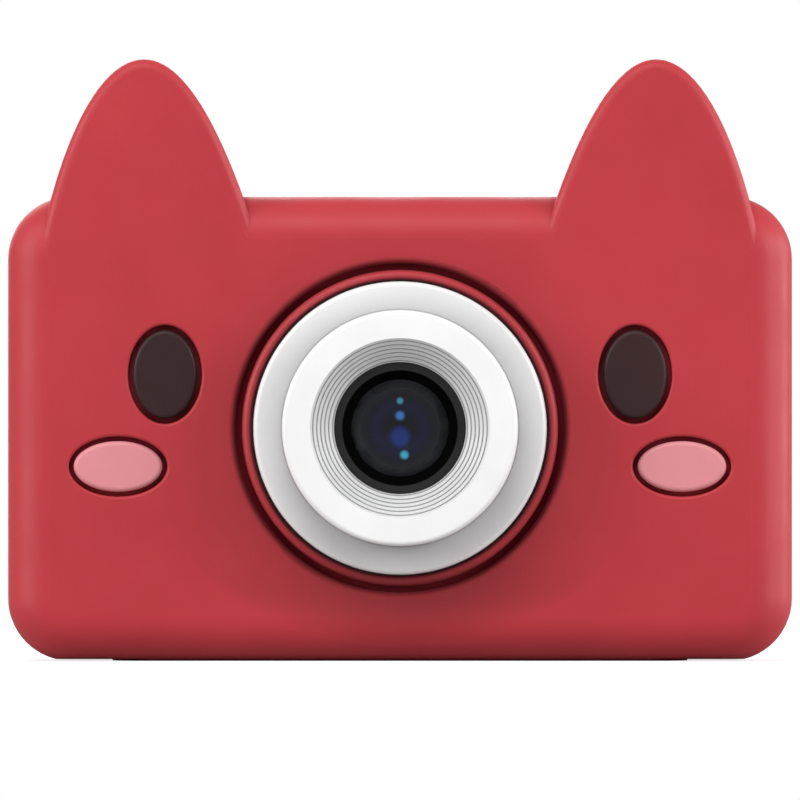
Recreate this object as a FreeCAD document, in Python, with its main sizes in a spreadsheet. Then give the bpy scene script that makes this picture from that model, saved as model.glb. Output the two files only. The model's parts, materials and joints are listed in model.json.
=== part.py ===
import FreeCAD, Part
import math
import os
import re
import Sketcher

Vector = FreeCAD.Vector

# The camera stands on z = 0, +X is to the right as it is looked at from the front, the front faces -Y,
# and the origin is under the middle of its overall box. Every size is in millimetres.
SIZES = {
    # silicone case
    "case_width": 98.0, "case_height": 58.0, "case_front": -10.5, "case_back": 18.5,
    "case_corner": 7.8, "case_front_round": 5.3, "case_back_round": 3.0,
    "case_side_wall": 2.2, "case_front_wall": 2.5, "case_lip": 1.5,
    "back_opening_width": 86.6, "back_opening_height": 46.6, "back_opening_corner": 6.0,
    "rim_round": 0.35, "past": 1.0,
    "stand_half_wide": 36.0, "stand_front": -7.2, "stand_back": 17.0, "stand_corner": 8.0,
    "stand_proud": 0.22,
    # ears
    "ear_side": 31.95, "ear_tip": 75.15, "ear_thick": 7.0, "ear_drop": 24.0,
    "ear_inner_reach": 14.6, "ear_outer_reach": 13.19, "ear_outer_shoulder": 5.24,
    "ear_outer_waist": 10.15, "ear_outer_waist_drop": 8.93, "ear_front_round": 1.2, "ear_back_round": 2.0,
    # face
    "lens_middle": 29.1, "lens_opening": 18.5, "lip_outer": 19.75, "lip_proud": 0.55, "lip_round": 0.35,
    "lip_fall": 0.85, "lip_root": 0.2, "groove_outer": 20.55, "groove_deep": 1.8, "groove_round": 0.85,
    "pad_thick": 1.6, "pad_round": 0.55, "pad_slot": 0.6,
    "eye_side": 29.35, "eye_height": 35.8, "eye_half_width": 4.01, "eye_half_height": 5.56,
    "cheek_side": 35.2, "cheek_height": 24.3, "cheek_half_width": 5.54, "cheek_half_height": 3.17,
    # hard shells
    "core_gap": 0.1, "shell_wall": 1.8, "shell_split": 1.0, "shell_front_round": 0.8,
    "panel_width": 86.0, "panel_height": 46.0, "panel_back": 18.2, "panel_corner": 6.0, "panel_round": 0.6,
    "post_side": 42.4, "post_rise": 22.4, "front_post": 2.5, "rear_post": 2.6, "post_floor": 5.0,
    "collar_inner": 8.2, "collar_outer": 10.2, "collar_back": -4.5,
    # screws
    "shell_screw": 0.97, "shell_screw_hole": 1.0, "shell_hole_deep": 5.0, "shell_screw_slack": 1.05,
    "shell_screw_long": 8.0, "shell_head": 1.5, "shell_head_thick": 1.2, "shell_head_recess": 1.6,
    "board_screw": 0.72, "board_screw_hole": 0.75, "board_screw_slack": 0.9, "board_screw_long": 4.0,
    "board_hole_deep": 4.4, "board_head": 1.5, "board_head_thick": 1.0, "board_boss": 1.9,
    "cross_slot": 0.35, "cross_reach": 0.7,
    # lens stack
    "base_outer": 18.3, "base_bore": 12.0, "base_front": -14.0, "base_flat": 14.9, "base_fall": 0.7,
    "base_round": 0.7, "hood_outer": 14.7, "hood_front": -19.5, "hood_round": 0.6, "hood_spigot": 11.9,
    "hood_back": -8.5, "cone_outer": 11.2, "cone_inner": 8.24, "cone_bottom": -16.8,
    "cone_groove": 0.16, "cone_grooves": 6, "cone_first": 0.7,
    "retainer_outer": 8.2, "retainer_front": -16.7, "retainer_flat": 7.2, "retainer_lip": 6.06,
    "retainer_lip_front": -15.9, "barrel_front": -15.1, "barrel_outer": 7.8, "barrel_shoulder": -5.0,
    "barrel_thread": 5.5, "barrel_back": -1.0,
    "lens_seat": 6.35, "lens_seat_back": -13.2, "front_lens_half": 6.3, "front_lens_tip": -15.6,
    "front_lens_curve": 28.7, "middle_bore": 5.0, "middle_bore_back": -7.4, "middle_lens_front": -10.6,
    "middle_lens_back": -7.6, "rear_bore": 4.2, "rear_lens_front": -4.8, "rear_lens_back": -2.4,
    "inner_lens_curve": 14.0,
    # sensor
    "housing_half": 8.0, "housing_back": 2.6, "housing_step": -0.9, "housing_window": 3.5,
    "housing_well": 5.5, "housing_well_front": -0.2, "filter_half": 5.0, "filter_thick": 0.3,
    "sensor_half": 4.0, "sensor_thick": 0.9, "sensor_board_half": 9.0, "sensor_board_thick": 1.0,
    "flex_thick": 0.3, "flex_bend": 1.0, "sensor_flex_half": 4.0, "sensor_flex_top": 23.5,
    "sensor_flex_level": 18.0, "sensor_flex_end": 12.0,
    # main board
    "board_half": 41.5, "board_bottom": 4.5, "board_top": 50.5, "board_front": 10.8, "board_back": 12.0,
    "notch_wide": 3.5, "notch_high": 5.5,
    # screen
    "screen_side": 15.5, "screen_height": 29.0, "frame_width": 45.0, "frame_height": 35.0,
    "frame_front": 13.4, "frame_back": 16.2, "frame_wall": 0.6, "panel_gap": 0.1,
    "window_width": 47.0, "window_height": 37.0, "window_thick": 1.0, "window_corner": 2.0,
    "window_recess": 1.1, "window_slack": 0.1, "view_width": 41.4, "view_height": 31.2,
    "display_pad_inset": 2.5,
    "display_flex_left": 8.0, "display_flex_right": 20.0, "display_flex_inset": 0.7,
    "display_flex_fold": 8.6, "display_flex_bend": 0.5,
    # rear keys, their switches and their plungers
    "dpad_side": -26.5, "dpad_height": 20.0, "ok_half": 4.4, "ok_flange": 5.0, "ok_back": 19.5,
    "arrow_inner": 5.9, "arrow_outer": 10.5, "arrow_spread": 38.0, "arrow_back": 19.2,
    "arrow_flange_inner": 5.3, "arrow_flange_outer": 11.2, "arrow_flange_spread": 42.0,
    "arrow_switch": 7.9, "key_gap": 0.15, "key_gap_spread": 1.2,
    "menu_side": -33.0, "play_side": -20.0, "menu_height": 36.5, "menu_half": 3.2, "menu_flange": 3.9,
    "menu_back": 19.3, "key_round": 0.6, "flange_front": 15.6, "flange_back": 16.25,
    "plunger": 1.5, "plunger_front": 14.9, "switch_half": 3.0, "switch_back": 14.0,
    "switch_bore": 1.8, "switch_floor": 12.9, "stem": 1.7, "stem_front": 13.4,
    # top buttons
    "button_side": 31.5, "button_depth": 9.0, "shutter_half": 5.0, "shutter_top": 59.2,
    "power_half": 3.8, "power_top": 58.7, "button_gap": 0.2, "case_button_gap": 0.6,
    "button_flange": 0.8, "button_flange_bottom": 52.7, "button_flange_top": 53.7, "button_round": 0.9,
    "button_plunger": 1.2, "button_stem": 0.8, "button_stem_bottom": 49.2, "button_stem_top": 51.0,
    "side_switch_width": 7.0, "side_switch_half": 1.8, "side_switch_high": 3.5, "side_switch_top": 50.0,
    "side_switch_bore": 0.9, "side_switch_floor": 48.6,
    # sockets and the memory card
    "usb_height": 36.0, "usb_half": 4.5, "usb_thick": 3.2, "usb_inner": 38.8, "usb_mouth": 46.1,
    "usb_corner": 1.5, "usb_wall": 0.3, "usb_end_wall": 1.0,
    "usb_tongue_half": 3.35, "usb_tongue_thick": 0.7, "usb_tongue_end": 45.4, "usb_hole_slack": 0.2,
    "card_height": 18.2, "card_half": 5.5, "card_thick": 0.8, "card_front": 9.35, "card_inner": 31.2,
    "card_long": 15.0, "card_corner": 2.0, "socket_inner": 27.0, "socket_half": 7.3,
    "socket_front": 8.9, "socket_well": 30.4, "socket_slack": 0.15,
    "card_slot_half": 6.0, "card_slot_thick": 1.6, "card_window_half": 7.2, "card_window_thick": 5.2,
    # silicone plug over the charging socket
    "plug_axis": 48.1, "plug_axis_height": 28.4, "plug_front": 5.5, "plug_back": 12.9,
    "plug_bottom": 1.0, "plug_top": 43.4, "plug_inner": 47.0, "plug_slack": 0.2, "plug_corner": 1.5,
    "plug_round": 0.5, "boss_inner": 46.3, "boss_half": 3.8, "boss_thick": 2.3, "boss_corner": 1.0,
    "bead": 0.7, "bead_pocket": 0.85, "bead_inset": 0.5, "neck_half": 0.3, "neck_slack": 0.15,
    "neck_root": 0.3,
    # battery, speaker, microphone, lamp, lanyard bar
    "battery_left": -42.8, "battery_right": -12.8, "battery_bottom": 10.0, "battery_top": 48.0,
    "battery_front": -5.5, "battery_back": 0.5, "battery_round": 1.2,
    "rib_thick": 1.0, "rib_deep": 3.0, "rib_tall": 8.0, "rib_inset": 4.0, "rib_gap": 0.3,
    "lead": 0.6, "lead_side": -17.0, "lead_gap": 0.9, "lead_top": 51.5, "lead_bend": 3.0,
    "lead_front": -2.5, "plug_body_half": 3.0, "plug_body_bottom": 43.0, "plug_body_top": 47.5,
    "plug_body_front": 7.3,
    "speaker_left": -34.0, "speaker_right": -19.0, "speaker_bottom": 41.0, "speaker_top": 50.0,
    "speaker_front": 12.4, "speaker_back": 16.2, "speaker_corner": 2.5,
    "wire": 0.4, "wire_run": 3.0, "wire_bend": 1.2, "wire_level": 14.4,
    "grille_hole": 0.5, "grille_ring": 2.2, "grille_holes": 6,
    "small_side": -11.8, "mic_height": 10.0, "mic_half": 2.0, "mic_back": 13.6, "mic_hole": 0.5,
    "lamp_height": 47.0, "lamp_half": 1.1, "lamp_gap": 0.05,
    "lanyard_inner": -42.8, "lanyard_block": -42.0, "lanyard_depth": 11.0, "lanyard_height": 29.0,
    "lanyard_half_wide": 3.0, "lanyard_half_high": 5.0, "lanyard_wall": 1.1, "lanyard_pin": 0.8,
    "lanyard_pin_side": -45.6, "lanyard_case_slack": 0.3,
}

BOARD_SCREWS = [("-39.0", "13.5"), ("-39.2", "40.5"), ("39.9", "28.5"), ("20.0", "8.2")]
CHIPS = [  # middle x, middle z, width, height, thickness
    ("19.0", "40.5", "10.0", "10.0", "1.2"),
    ("7.5", "42.0", "8.0", "6.0", "1.0"),
    ("-24.0", "30.0", "5.0", "5.0", "0.9"),
    ("-30.5", "22.0", "4.0", "6.0", "1.6"),
    ("31.0", "36.0", "4.0", "4.0", "0.9"),
    ("13.0", "22.0", "3.2", "6.4", "1.1"),
]
# the arrow keys as the user behind the camera knows them, and their turn as it is seen from the front
ARROWS = [("up", 0), ("left", 90), ("down", 180), ("right", 270)]
SIDES = [("left", -1), ("right", 1)]

doc = FreeCAD.newDocument("kids_camera")
dims = doc.addObject("Spreadsheet::Sheet", "dims")
for row, (word, amount) in enumerate(SIZES.items(), start=1):
    dims.set(f"A{row}", word)
    dims.set(f"B{row}", str(amount))
    dims.setAlias(f"B{row}", word)
doc.recompute()

subparts = []


# ---- sizes bound to the sheet ----

def number(expression):
    """The value of an expression written in the sheet's names."""
    return float(dims.evalExpression(str(expression)))


def bound(expression):
    """The same expression as another object writes it, each name looked up in the sheet."""
    def look_up(match):
        word = match.group()
        return "dims." + word if word in SIZES else word
    return re.sub(r"[a-z][a-z_]*", look_up, str(expression))


def bind(thing, field, expression):
    """Sets a property from an expression, which stays in the document."""
    thing.setExpression(field, bound(expression))


def place(thing, x="0", y="0", z="0"):
    """Binds where an object stands."""
    for axis, expression in zip("xyz", (x, y, z)):
        bind(thing, f"Placement.Base.{axis}", expression)


def subpart(thing, name):
    """Names an object as one of the camera's pieces."""
    thing.Label = name
    subparts.append(thing)
    return thing


def negative(expression):
    return f"-({expression})"


# ---- sketches ----

def sketch_on(body, plane, level="0", shift=("0", "0")):
    """A sketch on the front (x, z), side (y, z) or top (x, y) plane, at a level along the third axis."""
    role = {"front": "XZ_Plane", "side": "YZ_Plane", "top": "XY_Plane"}[plane]
    sketch = body.newObject("Sketcher::SketchObject", "Sketch")
    origin_plane = next(each for each in body.Origin.OriginFeatures if each.Role == role)
    sketch.AttachmentSupport = [(origin_plane, "")]
    sketch.MapMode = "FlatFace"
    bind(sketch, "AttachmentOffset.Base.x", shift[0])
    bind(sketch, "AttachmentOffset.Base.y", shift[1])
    bind(sketch, "AttachmentOffset.Base.z", negative(level) if plane == "front" else level)
    return sketch


def hold(sketch, kind, *where, size):
    """Adds a constraint with a size from the sheet."""
    index = sketch.addConstraint(Sketcher.Constraint(kind, *where, number(size)))
    sketch.setExpression(f"Constraints[{index}]", bound(size))


def hold_point(sketch, geometry, position, x, y):
    """Holds a point of a geometry at x, y from the sketch's origin."""
    hold(sketch, "DistanceX", -1, 1, geometry, position, size=x)
    hold(sketch, "DistanceY", -1, 1, geometry, position, size=y)


def circle(sketch, x, y, radius):
    middle = Vector(number(x), number(y), 0)
    index = sketch.addGeometry(Part.Circle(middle, Vector(0, 0, 1), number(radius)))
    hold_point(sketch, index, 3, x, y)
    hold(sketch, "Radius", index, size=radius)


def ellipse(sketch, x, y, half_width, half_height):
    """An ellipse whose axes lie along the sketch's own."""
    middle = Vector(number(x), number(y), 0)
    across = middle + Vector(number(half_width), 0, 0)
    upright = middle + Vector(0, number(half_height), 0)
    wide = number(half_width) > number(half_height)
    ends = (across, upright) if wide else (upright, across)
    index = sketch.addGeometry(Part.Ellipse(*ends, middle))
    sketch.exposeInternalGeometry(index)
    long_axis, short_axis = index + 1, index + 2
    hold_point(sketch, index, 3, x, y)
    sketch.addConstraint(Sketcher.Constraint("Horizontal" if wide else "Vertical", long_axis))
    long_half, short_half = (half_width, half_height) if wide else (half_height, half_width)
    hold(sketch, "Distance", long_axis, size=f"2 * ({long_half})")
    hold(sketch, "Distance", short_axis, size=f"2 * ({short_half})")


def outline(sketch, points, closed=True):
    """Straight sides from point to point, where a third value rounds that corner."""
    spots = [Vector(number(point[0]), number(point[1]), 0) for point in points]
    count = len(points)
    corners = {}
    for index, point in enumerate(points):
        inside = closed or 0 < index < count - 1
        if len(point) < 3 or not inside:
            continue
        spot = spots[index]
        back = (spots[index - 1] - spot).normalize()
        ahead = (spots[(index + 1) % count] - spot).normalize()
        half = back.getAngle(ahead) / 2
        radius = number(point[2])
        middle = spot + (back + ahead).normalize() * (radius / math.sin(half))
        reach = radius / math.tan(half)
        left_turn = ahead.cross(back).z > 0
        corners[index] = (spot + back * reach, spot + ahead * reach, middle, radius, left_turn)

    lines = []
    for index in range(count if closed else count - 1):
        following = (index + 1) % count
        start = corners[index][1] if index in corners else spots[index]
        end = corners[following][0] if following in corners else spots[following]
        lines.append(sketch.addGeometry(Part.LineSegment(start, end)))

    for index, point in enumerate(points):
        before = lines[index - 1] if closed or index > 0 else None
        after = lines[index] if closed or index < count - 1 else None
        if index in corners:
            start, end, middle, radius, left_turn = corners[index]
            first, last = (start, end) if left_turn else (end, start)
            angles = [math.atan2(each.y - middle.y, each.x - middle.x) for each in (first, last)]
            ring = Part.Circle(middle, Vector(0, 0, 1), radius)
            arc = sketch.addGeometry(Part.ArcOfCircle(ring, *angles))
            corner = sketch.addGeometry(Part.Point(spots[index]), True)
            arrive, leave = (1, 2) if left_turn else (2, 1)
            sketch.addConstraint([
                Sketcher.Constraint("Tangent", before, 2, arc, arrive),
                Sketcher.Constraint("Tangent", arc, leave, after, 1),
                Sketcher.Constraint("PointOnObject", corner, 1, before),
                Sketcher.Constraint("PointOnObject", corner, 1, after),
            ])
            hold(sketch, "Radius", arc, size=point[2])
            hold_point(sketch, corner, 1, point[0], point[1])
            continue
        if before is not None and after is not None:
            sketch.addConstraint(Sketcher.Constraint("Coincident", before, 2, after, 1))
        end_of = (after, 1) if after is not None else (before, 2)
        hold_point(sketch, *end_of, point[0], point[1])


def rectangle(sketch, left, right, bottom, top, corner=None):
    """A rectangle, its four corners rounded if a radius is given."""
    places = [(left, bottom), (right, bottom), (right, top), (left, top)]
    outline(sketch, [spot + (corner,) if corner else spot for spot in places])


def centred(sketch, x, y, half_width, half_height, corner=None):
    """A rectangle about a middle point."""
    rectangle(sketch, f"{x} - ({half_width})", f"{x} + ({half_width})",
              f"{y} - ({half_height})", f"{y} + ({half_height})", corner)


def curve(sketch, poles):
    """A smooth curve that starts and ends at the first and last poles and is pulled by the others."""
    spots = [Vector(number(x), number(y), 0) for x, y in poles]
    bezier = Part.BezierCurve()
    bezier.setPoles(spots)
    index = sketch.addGeometry(bezier.toBSpline())
    sketch.exposeInternalGeometry(index)
    for step, (x, y) in enumerate(poles):
        hold_point(sketch, index + 1 + step, 3, x, y)
    return index


def sector(sketch, inner, outer, spread, turn=0):
    """Part of a ring about the sketch's origin, spread degrees each side of a direction."""
    direction = 90 - turn
    half = number(spread)
    angles = [math.radians(direction - half), math.radians(direction + half)]
    up = Vector(0, 0, 1)
    outer_arc, inner_arc = [
        sketch.addGeometry(Part.ArcOfCircle(Part.Circle(Vector(0, 0, 0), up, number(radius)), *angles))
        for radius in (outer, inner)]
    for arc, radius in ((outer_arc, outer), (inner_arc, inner)):
        sketch.addConstraint(Sketcher.Constraint("Coincident", arc, 3, -1, 1))
        hold(sketch, "Radius", arc, size=radius)
    for end, angle, sign in ((1, angles[0], "-"), (2, angles[1], "+")):
        ray = Vector(math.cos(angle), math.sin(angle), 0)
        side = sketch.addGeometry(Part.LineSegment(ray * number(inner), ray * number(outer)))
        sketch.addConstraint([
            Sketcher.Constraint("Coincident", side, 1, inner_arc, end),
            Sketcher.Constraint("Coincident", side, 2, outer_arc, end),
            Sketcher.Constraint("Angle", side, angle),
        ])
        sketch.setExpression(f"Constraints[{sketch.ConstraintCount - 1}]",
                             f"({direction} {sign} {bound(spread)}) * 1 deg")


# ---- features ----

def new_body(name):
    return doc.addObject("PartDesign::Body", name)


def extrude(body, plane, draw, start, end, cut=False, shift=("0", "0")):
    """Pads or pockets what draw puts in a sketch, from a start level to an end level along +X, +Y or +Z."""
    sketch = sketch_on(body, plane, start, shift)
    draw(sketch)
    before = body.Shape.Volume if body.Tip else 0
    feature = body.newObject("PartDesign::Pocket" if cut else "PartDesign::Pad", "Feature")
    feature.Profile = sketch
    bind(feature, "Length", f"({end}) - ({start})")
    against_normal = plane == "front"
    feature.Reversed = against_normal != cut
    doc.recompute()
    if cut and body.Shape.Volume >= before:
        raise ValueError(f"a pocket in {body.Name} removes nothing")
    return feature


def turn(body, profile, axis="y", cut=False, shift=("0", "0")):
    """Revolves (y, radius) points about a line along Y, or (radius, z) points about a line along Z."""
    sketch = sketch_on(body, "side" if axis == "y" else "front", shift=shift)
    outline(sketch, profile)
    before = body.Shape.Volume if body.Tip else 0
    feature = body.newObject("PartDesign::Groove" if cut else "PartDesign::Revolution", "Feature")
    feature.Profile = sketch
    feature.ReferenceAxis = (sketch, ["H_Axis" if axis == "y" else "V_Axis"])
    feature.Angle = 360
    doc.recompute()
    if cut and body.Shape.Volume >= before:
        raise ValueError(f"a groove in {body.Name} removes nothing")
    return feature


def round_edges(body, radius, chosen):
    """Rounds the edges of the body so far that pass the test."""
    tip = body.Tip
    names = [f"Edge{index}" for index, edge in enumerate(tip.Shape.Edges, start=1) if chosen(edge)]
    if not names:
        raise ValueError(f"no edge to round in {body.Name}")
    feature = body.newObject("PartDesign::Fillet", "Round")
    feature.Base = (tip, names)
    bind(feature, "Radius", radius)
    doc.recompute()
    return feature


def edge_at(axis, level, within=None):
    """A test for edges that lie in the plane axis = level, and near a middle if one is given."""
    wanted = number(level)

    def chosen(edge):
        box = edge.BoundBox
        low, high = getattr(box, axis + "Min"), getattr(box, axis + "Max")
        flat = abs(low - wanted) < 0.001 and abs(high - wanted) < 0.001
        if not flat or within is None:
            return flat
        middle, reach = within
        return all(abs(getattr(box.Center, key) - number(value)) < reach for key, value in middle.items())
    return chosen


def box(name, x, y, z):
    """A Part::Box between two levels on each axis."""
    block = doc.addObject("Part::Box", name)
    for field, (low, high) in (("Length", x), ("Width", y), ("Height", z)):
        bind(block, field, f"({high}) - ({low})")
    place(block, x[0], y[0], z[0])
    return block


def rod(name, radius, start, end, x="0", y="0", z="0", axis="y"):
    """A Part::Cylinder along Y or Z between two levels."""
    cylinder = doc.addObject("Part::Cylinder", name)
    bind(cylinder, "Radius", radius)
    bind(cylinder, "Height", f"({end}) - ({start})")
    if axis == "y":
        cylinder.Placement = FreeCAD.Placement(Vector(), FreeCAD.Rotation(Vector(1, 0, 0), -90))
        place(cylinder, x, start, z)
    else:
        place(cylinder, x, y, start)
    return cylinder


def cut(name, base, tool):
    piece = doc.addObject("Part::Cut", name)
    piece.Base = base
    piece.Tool = tool
    return piece


def joined(name, pieces):
    fusion = doc.addObject("Part::MultiFuse", name)
    fusion.Shapes = pieces
    return fusion


def group(name, pieces):
    """Separate solids that are one sub-part, such as a set of identical screws."""
    compound = doc.addObject("Part::Compound", name)
    compound.Links = pieces
    return subpart(compound, name)


# ---- silicone case and its inlays ----

def ear(side):
    """One ear: a pointed leaf that stands on the case's front edge."""
    body = new_body("ear_form")
    sign = "" if side > 0 else "-1 * "

    def leaf(sketch):
        across = [f"{sign}(ear_side - {reach})" for reach in ("0", "ear_inner_reach / 2", "ear_inner_reach")]
        inner = curve(sketch, [(across[0], "ear_tip"), (across[1], "ear_tip"),
                               (across[2], "ear_tip - ear_drop")])
        outside = [f"{sign}(ear_side + {reach})" for reach in
                   ("0", "ear_outer_shoulder", "ear_outer_waist", "ear_outer_reach")]
        outer = curve(sketch, [(outside[0], "ear_tip"), (outside[1], "ear_tip"),
                               (outside[2], "ear_tip - ear_outer_waist_drop"),
                               (outside[3], "ear_tip - ear_drop")])
        ends = [sketch.Geometry[index].EndPoint for index in (inner, outer)]
        base = sketch.addGeometry(Part.LineSegment(*ends))
        sketch.addConstraint([
            Sketcher.Constraint("Coincident", base, 1, inner, 2),
            Sketcher.Constraint("Coincident", base, 2, outer, 2),
        ])

    extrude(body, "front", leaf, "case_front", "case_front + ear_thick")
    floor = number("ear_tip - ear_drop")
    for level, radius in (("case_front", "ear_front_round"), ("case_front + ear_thick", "ear_back_round")):
        in_plane = edge_at("Y", level)
        round_edges(body, radius, lambda edge: in_plane(edge) and edge.BoundBox.ZMax > floor + 1)
    return body


def silicone_case():
    """The soft jacket: a rounded tray, open behind, with both ears, the face's pockets and the openings."""
    body = new_body("silicone_case")
    extrude(body, "front", lambda sketch: rectangle(
        sketch, "-case_width / 2", "case_width / 2", "0", "case_height", "case_corner"),
        "case_front", "case_back")
    round_edges(body, "case_front_round", edge_at("Y", "case_front"))
    round_edges(body, "case_back_round", edge_at("Y", "case_back"))
    ears = body.newObject("PartDesign::Boolean", "Ears")
    ears.Type = "Fuse"
    ears.setObjects([ear(side) for _, side in SIDES])
    doc.recompute()

    inner_half = "case_width / 2 - case_side_wall"
    extrude(body, "front", lambda sketch: rectangle(
        sketch, negative(inner_half), inner_half, "case_side_wall", "case_height - case_side_wall",
        "case_corner - case_side_wall"),
        "case_front + case_front_wall", "case_back - case_lip", cut=True)
    extrude(body, "front", lambda sketch: centred(
        sketch, "0", "case_height / 2", "back_opening_width / 2", "back_opening_height / 2",
        "back_opening_corner"), "case_back - case_lip", "case_back + past", cut=True)

    # face: lens opening with its raised lip and the groove around it
    extrude(body, "front", lambda sketch: circle(sketch, "0", "lens_middle", "lens_opening"),
            "case_front - past", "case_front + case_front_wall", cut=True)
    turn(body, [("case_front - past", "lens_opening"), ("case_front - past", "groove_outer"),
                ("case_front + groove_deep", "groove_outer"), ("case_front + groove_deep", "lens_opening")],
         cut=True, shift=("0", "lens_middle"))
    turn(body, [("case_front - lip_proud", "lens_opening", "lip_round"),
                ("case_front - lip_proud", "lip_outer", "lip_fall"),
                ("case_front + groove_deep + lip_root", "lip_outer"),
                ("case_front + groove_deep + lip_root", "lens_opening")], shift=("0", "lens_middle"))
    round_edges(body, "groove_round", edge_at("Y", "case_front", ({"x": "0", "z": "lens_middle"}, 1.0)))

    # pockets of the eyes and cheeks, a slot wider than the inlays all round
    for kind in ("eye", "cheek"):
        for _, side in SIDES:
            middle = f"{side} * {kind}_side"
            extrude(body, "front", lambda sketch: ellipse(
                sketch, middle, f"{kind}_height", f"{kind}_half_width + pad_slot",
                f"{kind}_half_height + pad_slot"), "case_front", "case_front + pad_thick", cut=True)
            rim = edge_at("Y", "case_front", ({"x": middle, "z": f"{kind}_height"}, 1.0))
            round_edges(body, "rim_round", rim)

    # holes over the two top buttons
    for kind, side in (("shutter", -1), ("power", 1)):
        extrude(body, "top", lambda sketch: circle(
            sketch, f"{side} * button_side", "button_depth", f"{kind}_half + case_button_gap"),
            "case_height - case_side_wall", "case_height + past", cut=True)

    # right side: seat of the plug, its hinge bead, and the window of the card slot
    wall_inside = "case_width / 2 - case_side_wall"
    outside = "case_width / 2 + past"
    extrude(body, "side", lambda sketch: rectangle(
        sketch, "plug_front - plug_slack", "plug_back + plug_slack",
        "plug_axis_height + plug_bottom - plug_slack", "plug_top + plug_slack",
        "plug_corner"), wall_inside, outside, cut=True)
    bead_span = ("plug_front + bead_inset - plug_slack", "plug_back - bead_inset + plug_slack")
    extrude(body, "front", lambda sketch: circle(sketch, "plug_axis", "plug_axis_height", "bead_pocket"),
            *bead_span, cut=True)
    extrude(body, "side", lambda sketch: rectangle(
        sketch, *bead_span, "plug_axis_height - neck_half - neck_slack",
        "plug_axis_height + plug_bottom"), "plug_axis - neck_half - plug_slack", outside, cut=True)
    extrude(body, "side", lambda sketch: centred(
        sketch, "card_front + card_thick / 2", "card_height", "card_window_thick / 2", "card_window_half",
        "plug_corner"), wall_inside, outside, cut=True)

    # left side: opening over the lanyard bar
    extrude(body, "side", lambda sketch: centred(
        sketch, "lanyard_depth", "lanyard_height", "lanyard_half_wide + lanyard_case_slack",
        "lanyard_half_high + lanyard_case_slack", "plug_corner"),
        negative(outside), negative(wall_inside), cut=True)

    # underside: both ends are set back a little, so that the camera stands steadily on its middle
    def beside_stand(sketch):
        rectangle(sketch, "-case_width / 2 - past", "case_width / 2 + past",
                  "case_front - past", "case_back + past")
        rectangle(sketch, "-stand_half_wide", "stand_half_wide", "stand_front", "stand_back", "stand_corner")

    extrude(body, "top", beside_stand, "-past", "stand_proud", cut=True)
    return subpart(body, "silicone_case")


def face_pad(kind, word, side):
    """An oval inlay of the face, flat in front with a rounded edge."""
    body = new_body(f"{kind}_pad_{word}")
    extrude(body, "front", lambda sketch: ellipse(
        sketch, "0", "0", f"{kind}_half_width", f"{kind}_half_height"),
        "case_front", "case_front + pad_thick")
    round_edges(body, "pad_round", edge_at("Y", "case_front"))
    place(body, f"{side} * {kind}_side", "0", f"{kind}_height")
    return subpart(body, body.Name)


def port_plug():
    """The silicone flap over the charging socket, turning on a bead at its lower edge."""
    body = new_body("port_plug")
    extrude(body, "side", lambda sketch: rectangle(
        sketch, "plug_front", "plug_back", "plug_axis_height + plug_bottom", "plug_top", "plug_corner"),
        "plug_inner", "case_width / 2")
    round_edges(body, "plug_round", edge_at("X", "case_width / 2"))
    extrude(body, "side", lambda sketch: centred(
        sketch, "board_front - usb_thick / 2", "usb_height", "boss_thick / 2", "boss_half",
        "boss_corner"), "boss_inner", "plug_inner")
    span = ("plug_front + bead_inset", "plug_back - bead_inset")
    extrude(body, "side", lambda sketch: rectangle(
        sketch, *span, "plug_axis_height", "plug_axis_height + plug_bottom + neck_root"),
        "plug_axis - neck_half", "plug_axis + neck_half")
    extrude(body, "front", lambda sketch: circle(sketch, "plug_axis", "plug_axis_height", "bead"), *span)
    return subpart(body, "port_plug")


# ---- hard shells ----

def core_sketch(inset):
    """The outline of the hard core, inset from the case's inside by a distance."""
    half = f"case_width / 2 - case_side_wall - {inset}"

    def draw(sketch):
        rectangle(sketch, negative(half), half, f"case_side_wall + {inset}",
                  f"case_height - case_side_wall - {inset}", f"case_corner - case_side_wall - {inset}")
    return draw


def at_posts(radius):
    """A circle at each of the four shell screws."""
    def draw(sketch):
        for _, side in SIDES:
            for _, level in SIDES:
                circle(sketch, f"{side} * post_side", f"case_height / 2 + {level} * post_rise", radius)
    return draw


def front_shell():
    """The front half of the hard core: a tray with four posts, the lens collar and two battery ribs."""
    body = new_body("front_shell")
    face = "case_front + case_front_wall + core_gap"
    floor = f"{face} + shell_wall"
    extrude(body, "front", core_sketch("core_gap"), face, "shell_split")
    round_edges(body, "shell_front_round", edge_at("Y", face))
    extrude(body, "front", core_sketch("(core_gap + shell_wall)"), floor, "shell_split", cut=True)
    extrude(body, "front", at_posts("front_post"), floor, "shell_split")
    extrude(body, "front", at_posts("shell_screw_hole"), "shell_split - shell_hole_deep", "shell_split",
            cut=True)
    extrude(body, "front", lambda sketch: circle(sketch, "0", "lens_middle", "collar_outer"),
            floor, "collar_back")
    extrude(body, "front", lambda sketch: circle(sketch, "0", "lens_middle", "collar_inner"),
            face, "collar_back", cut=True)
    rib = "battery_right + rib_gap"
    for low in ("battery_bottom + rib_inset", "battery_top - rib_inset - rib_tall"):
        extrude(body, "front", lambda sketch: rectangle(
            sketch, rib, f"{rib} + rib_thick", low, f"{low} + rib_tall"), floor, f"{floor} + rib_deep")
    return subpart(body, "front_shell")


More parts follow.
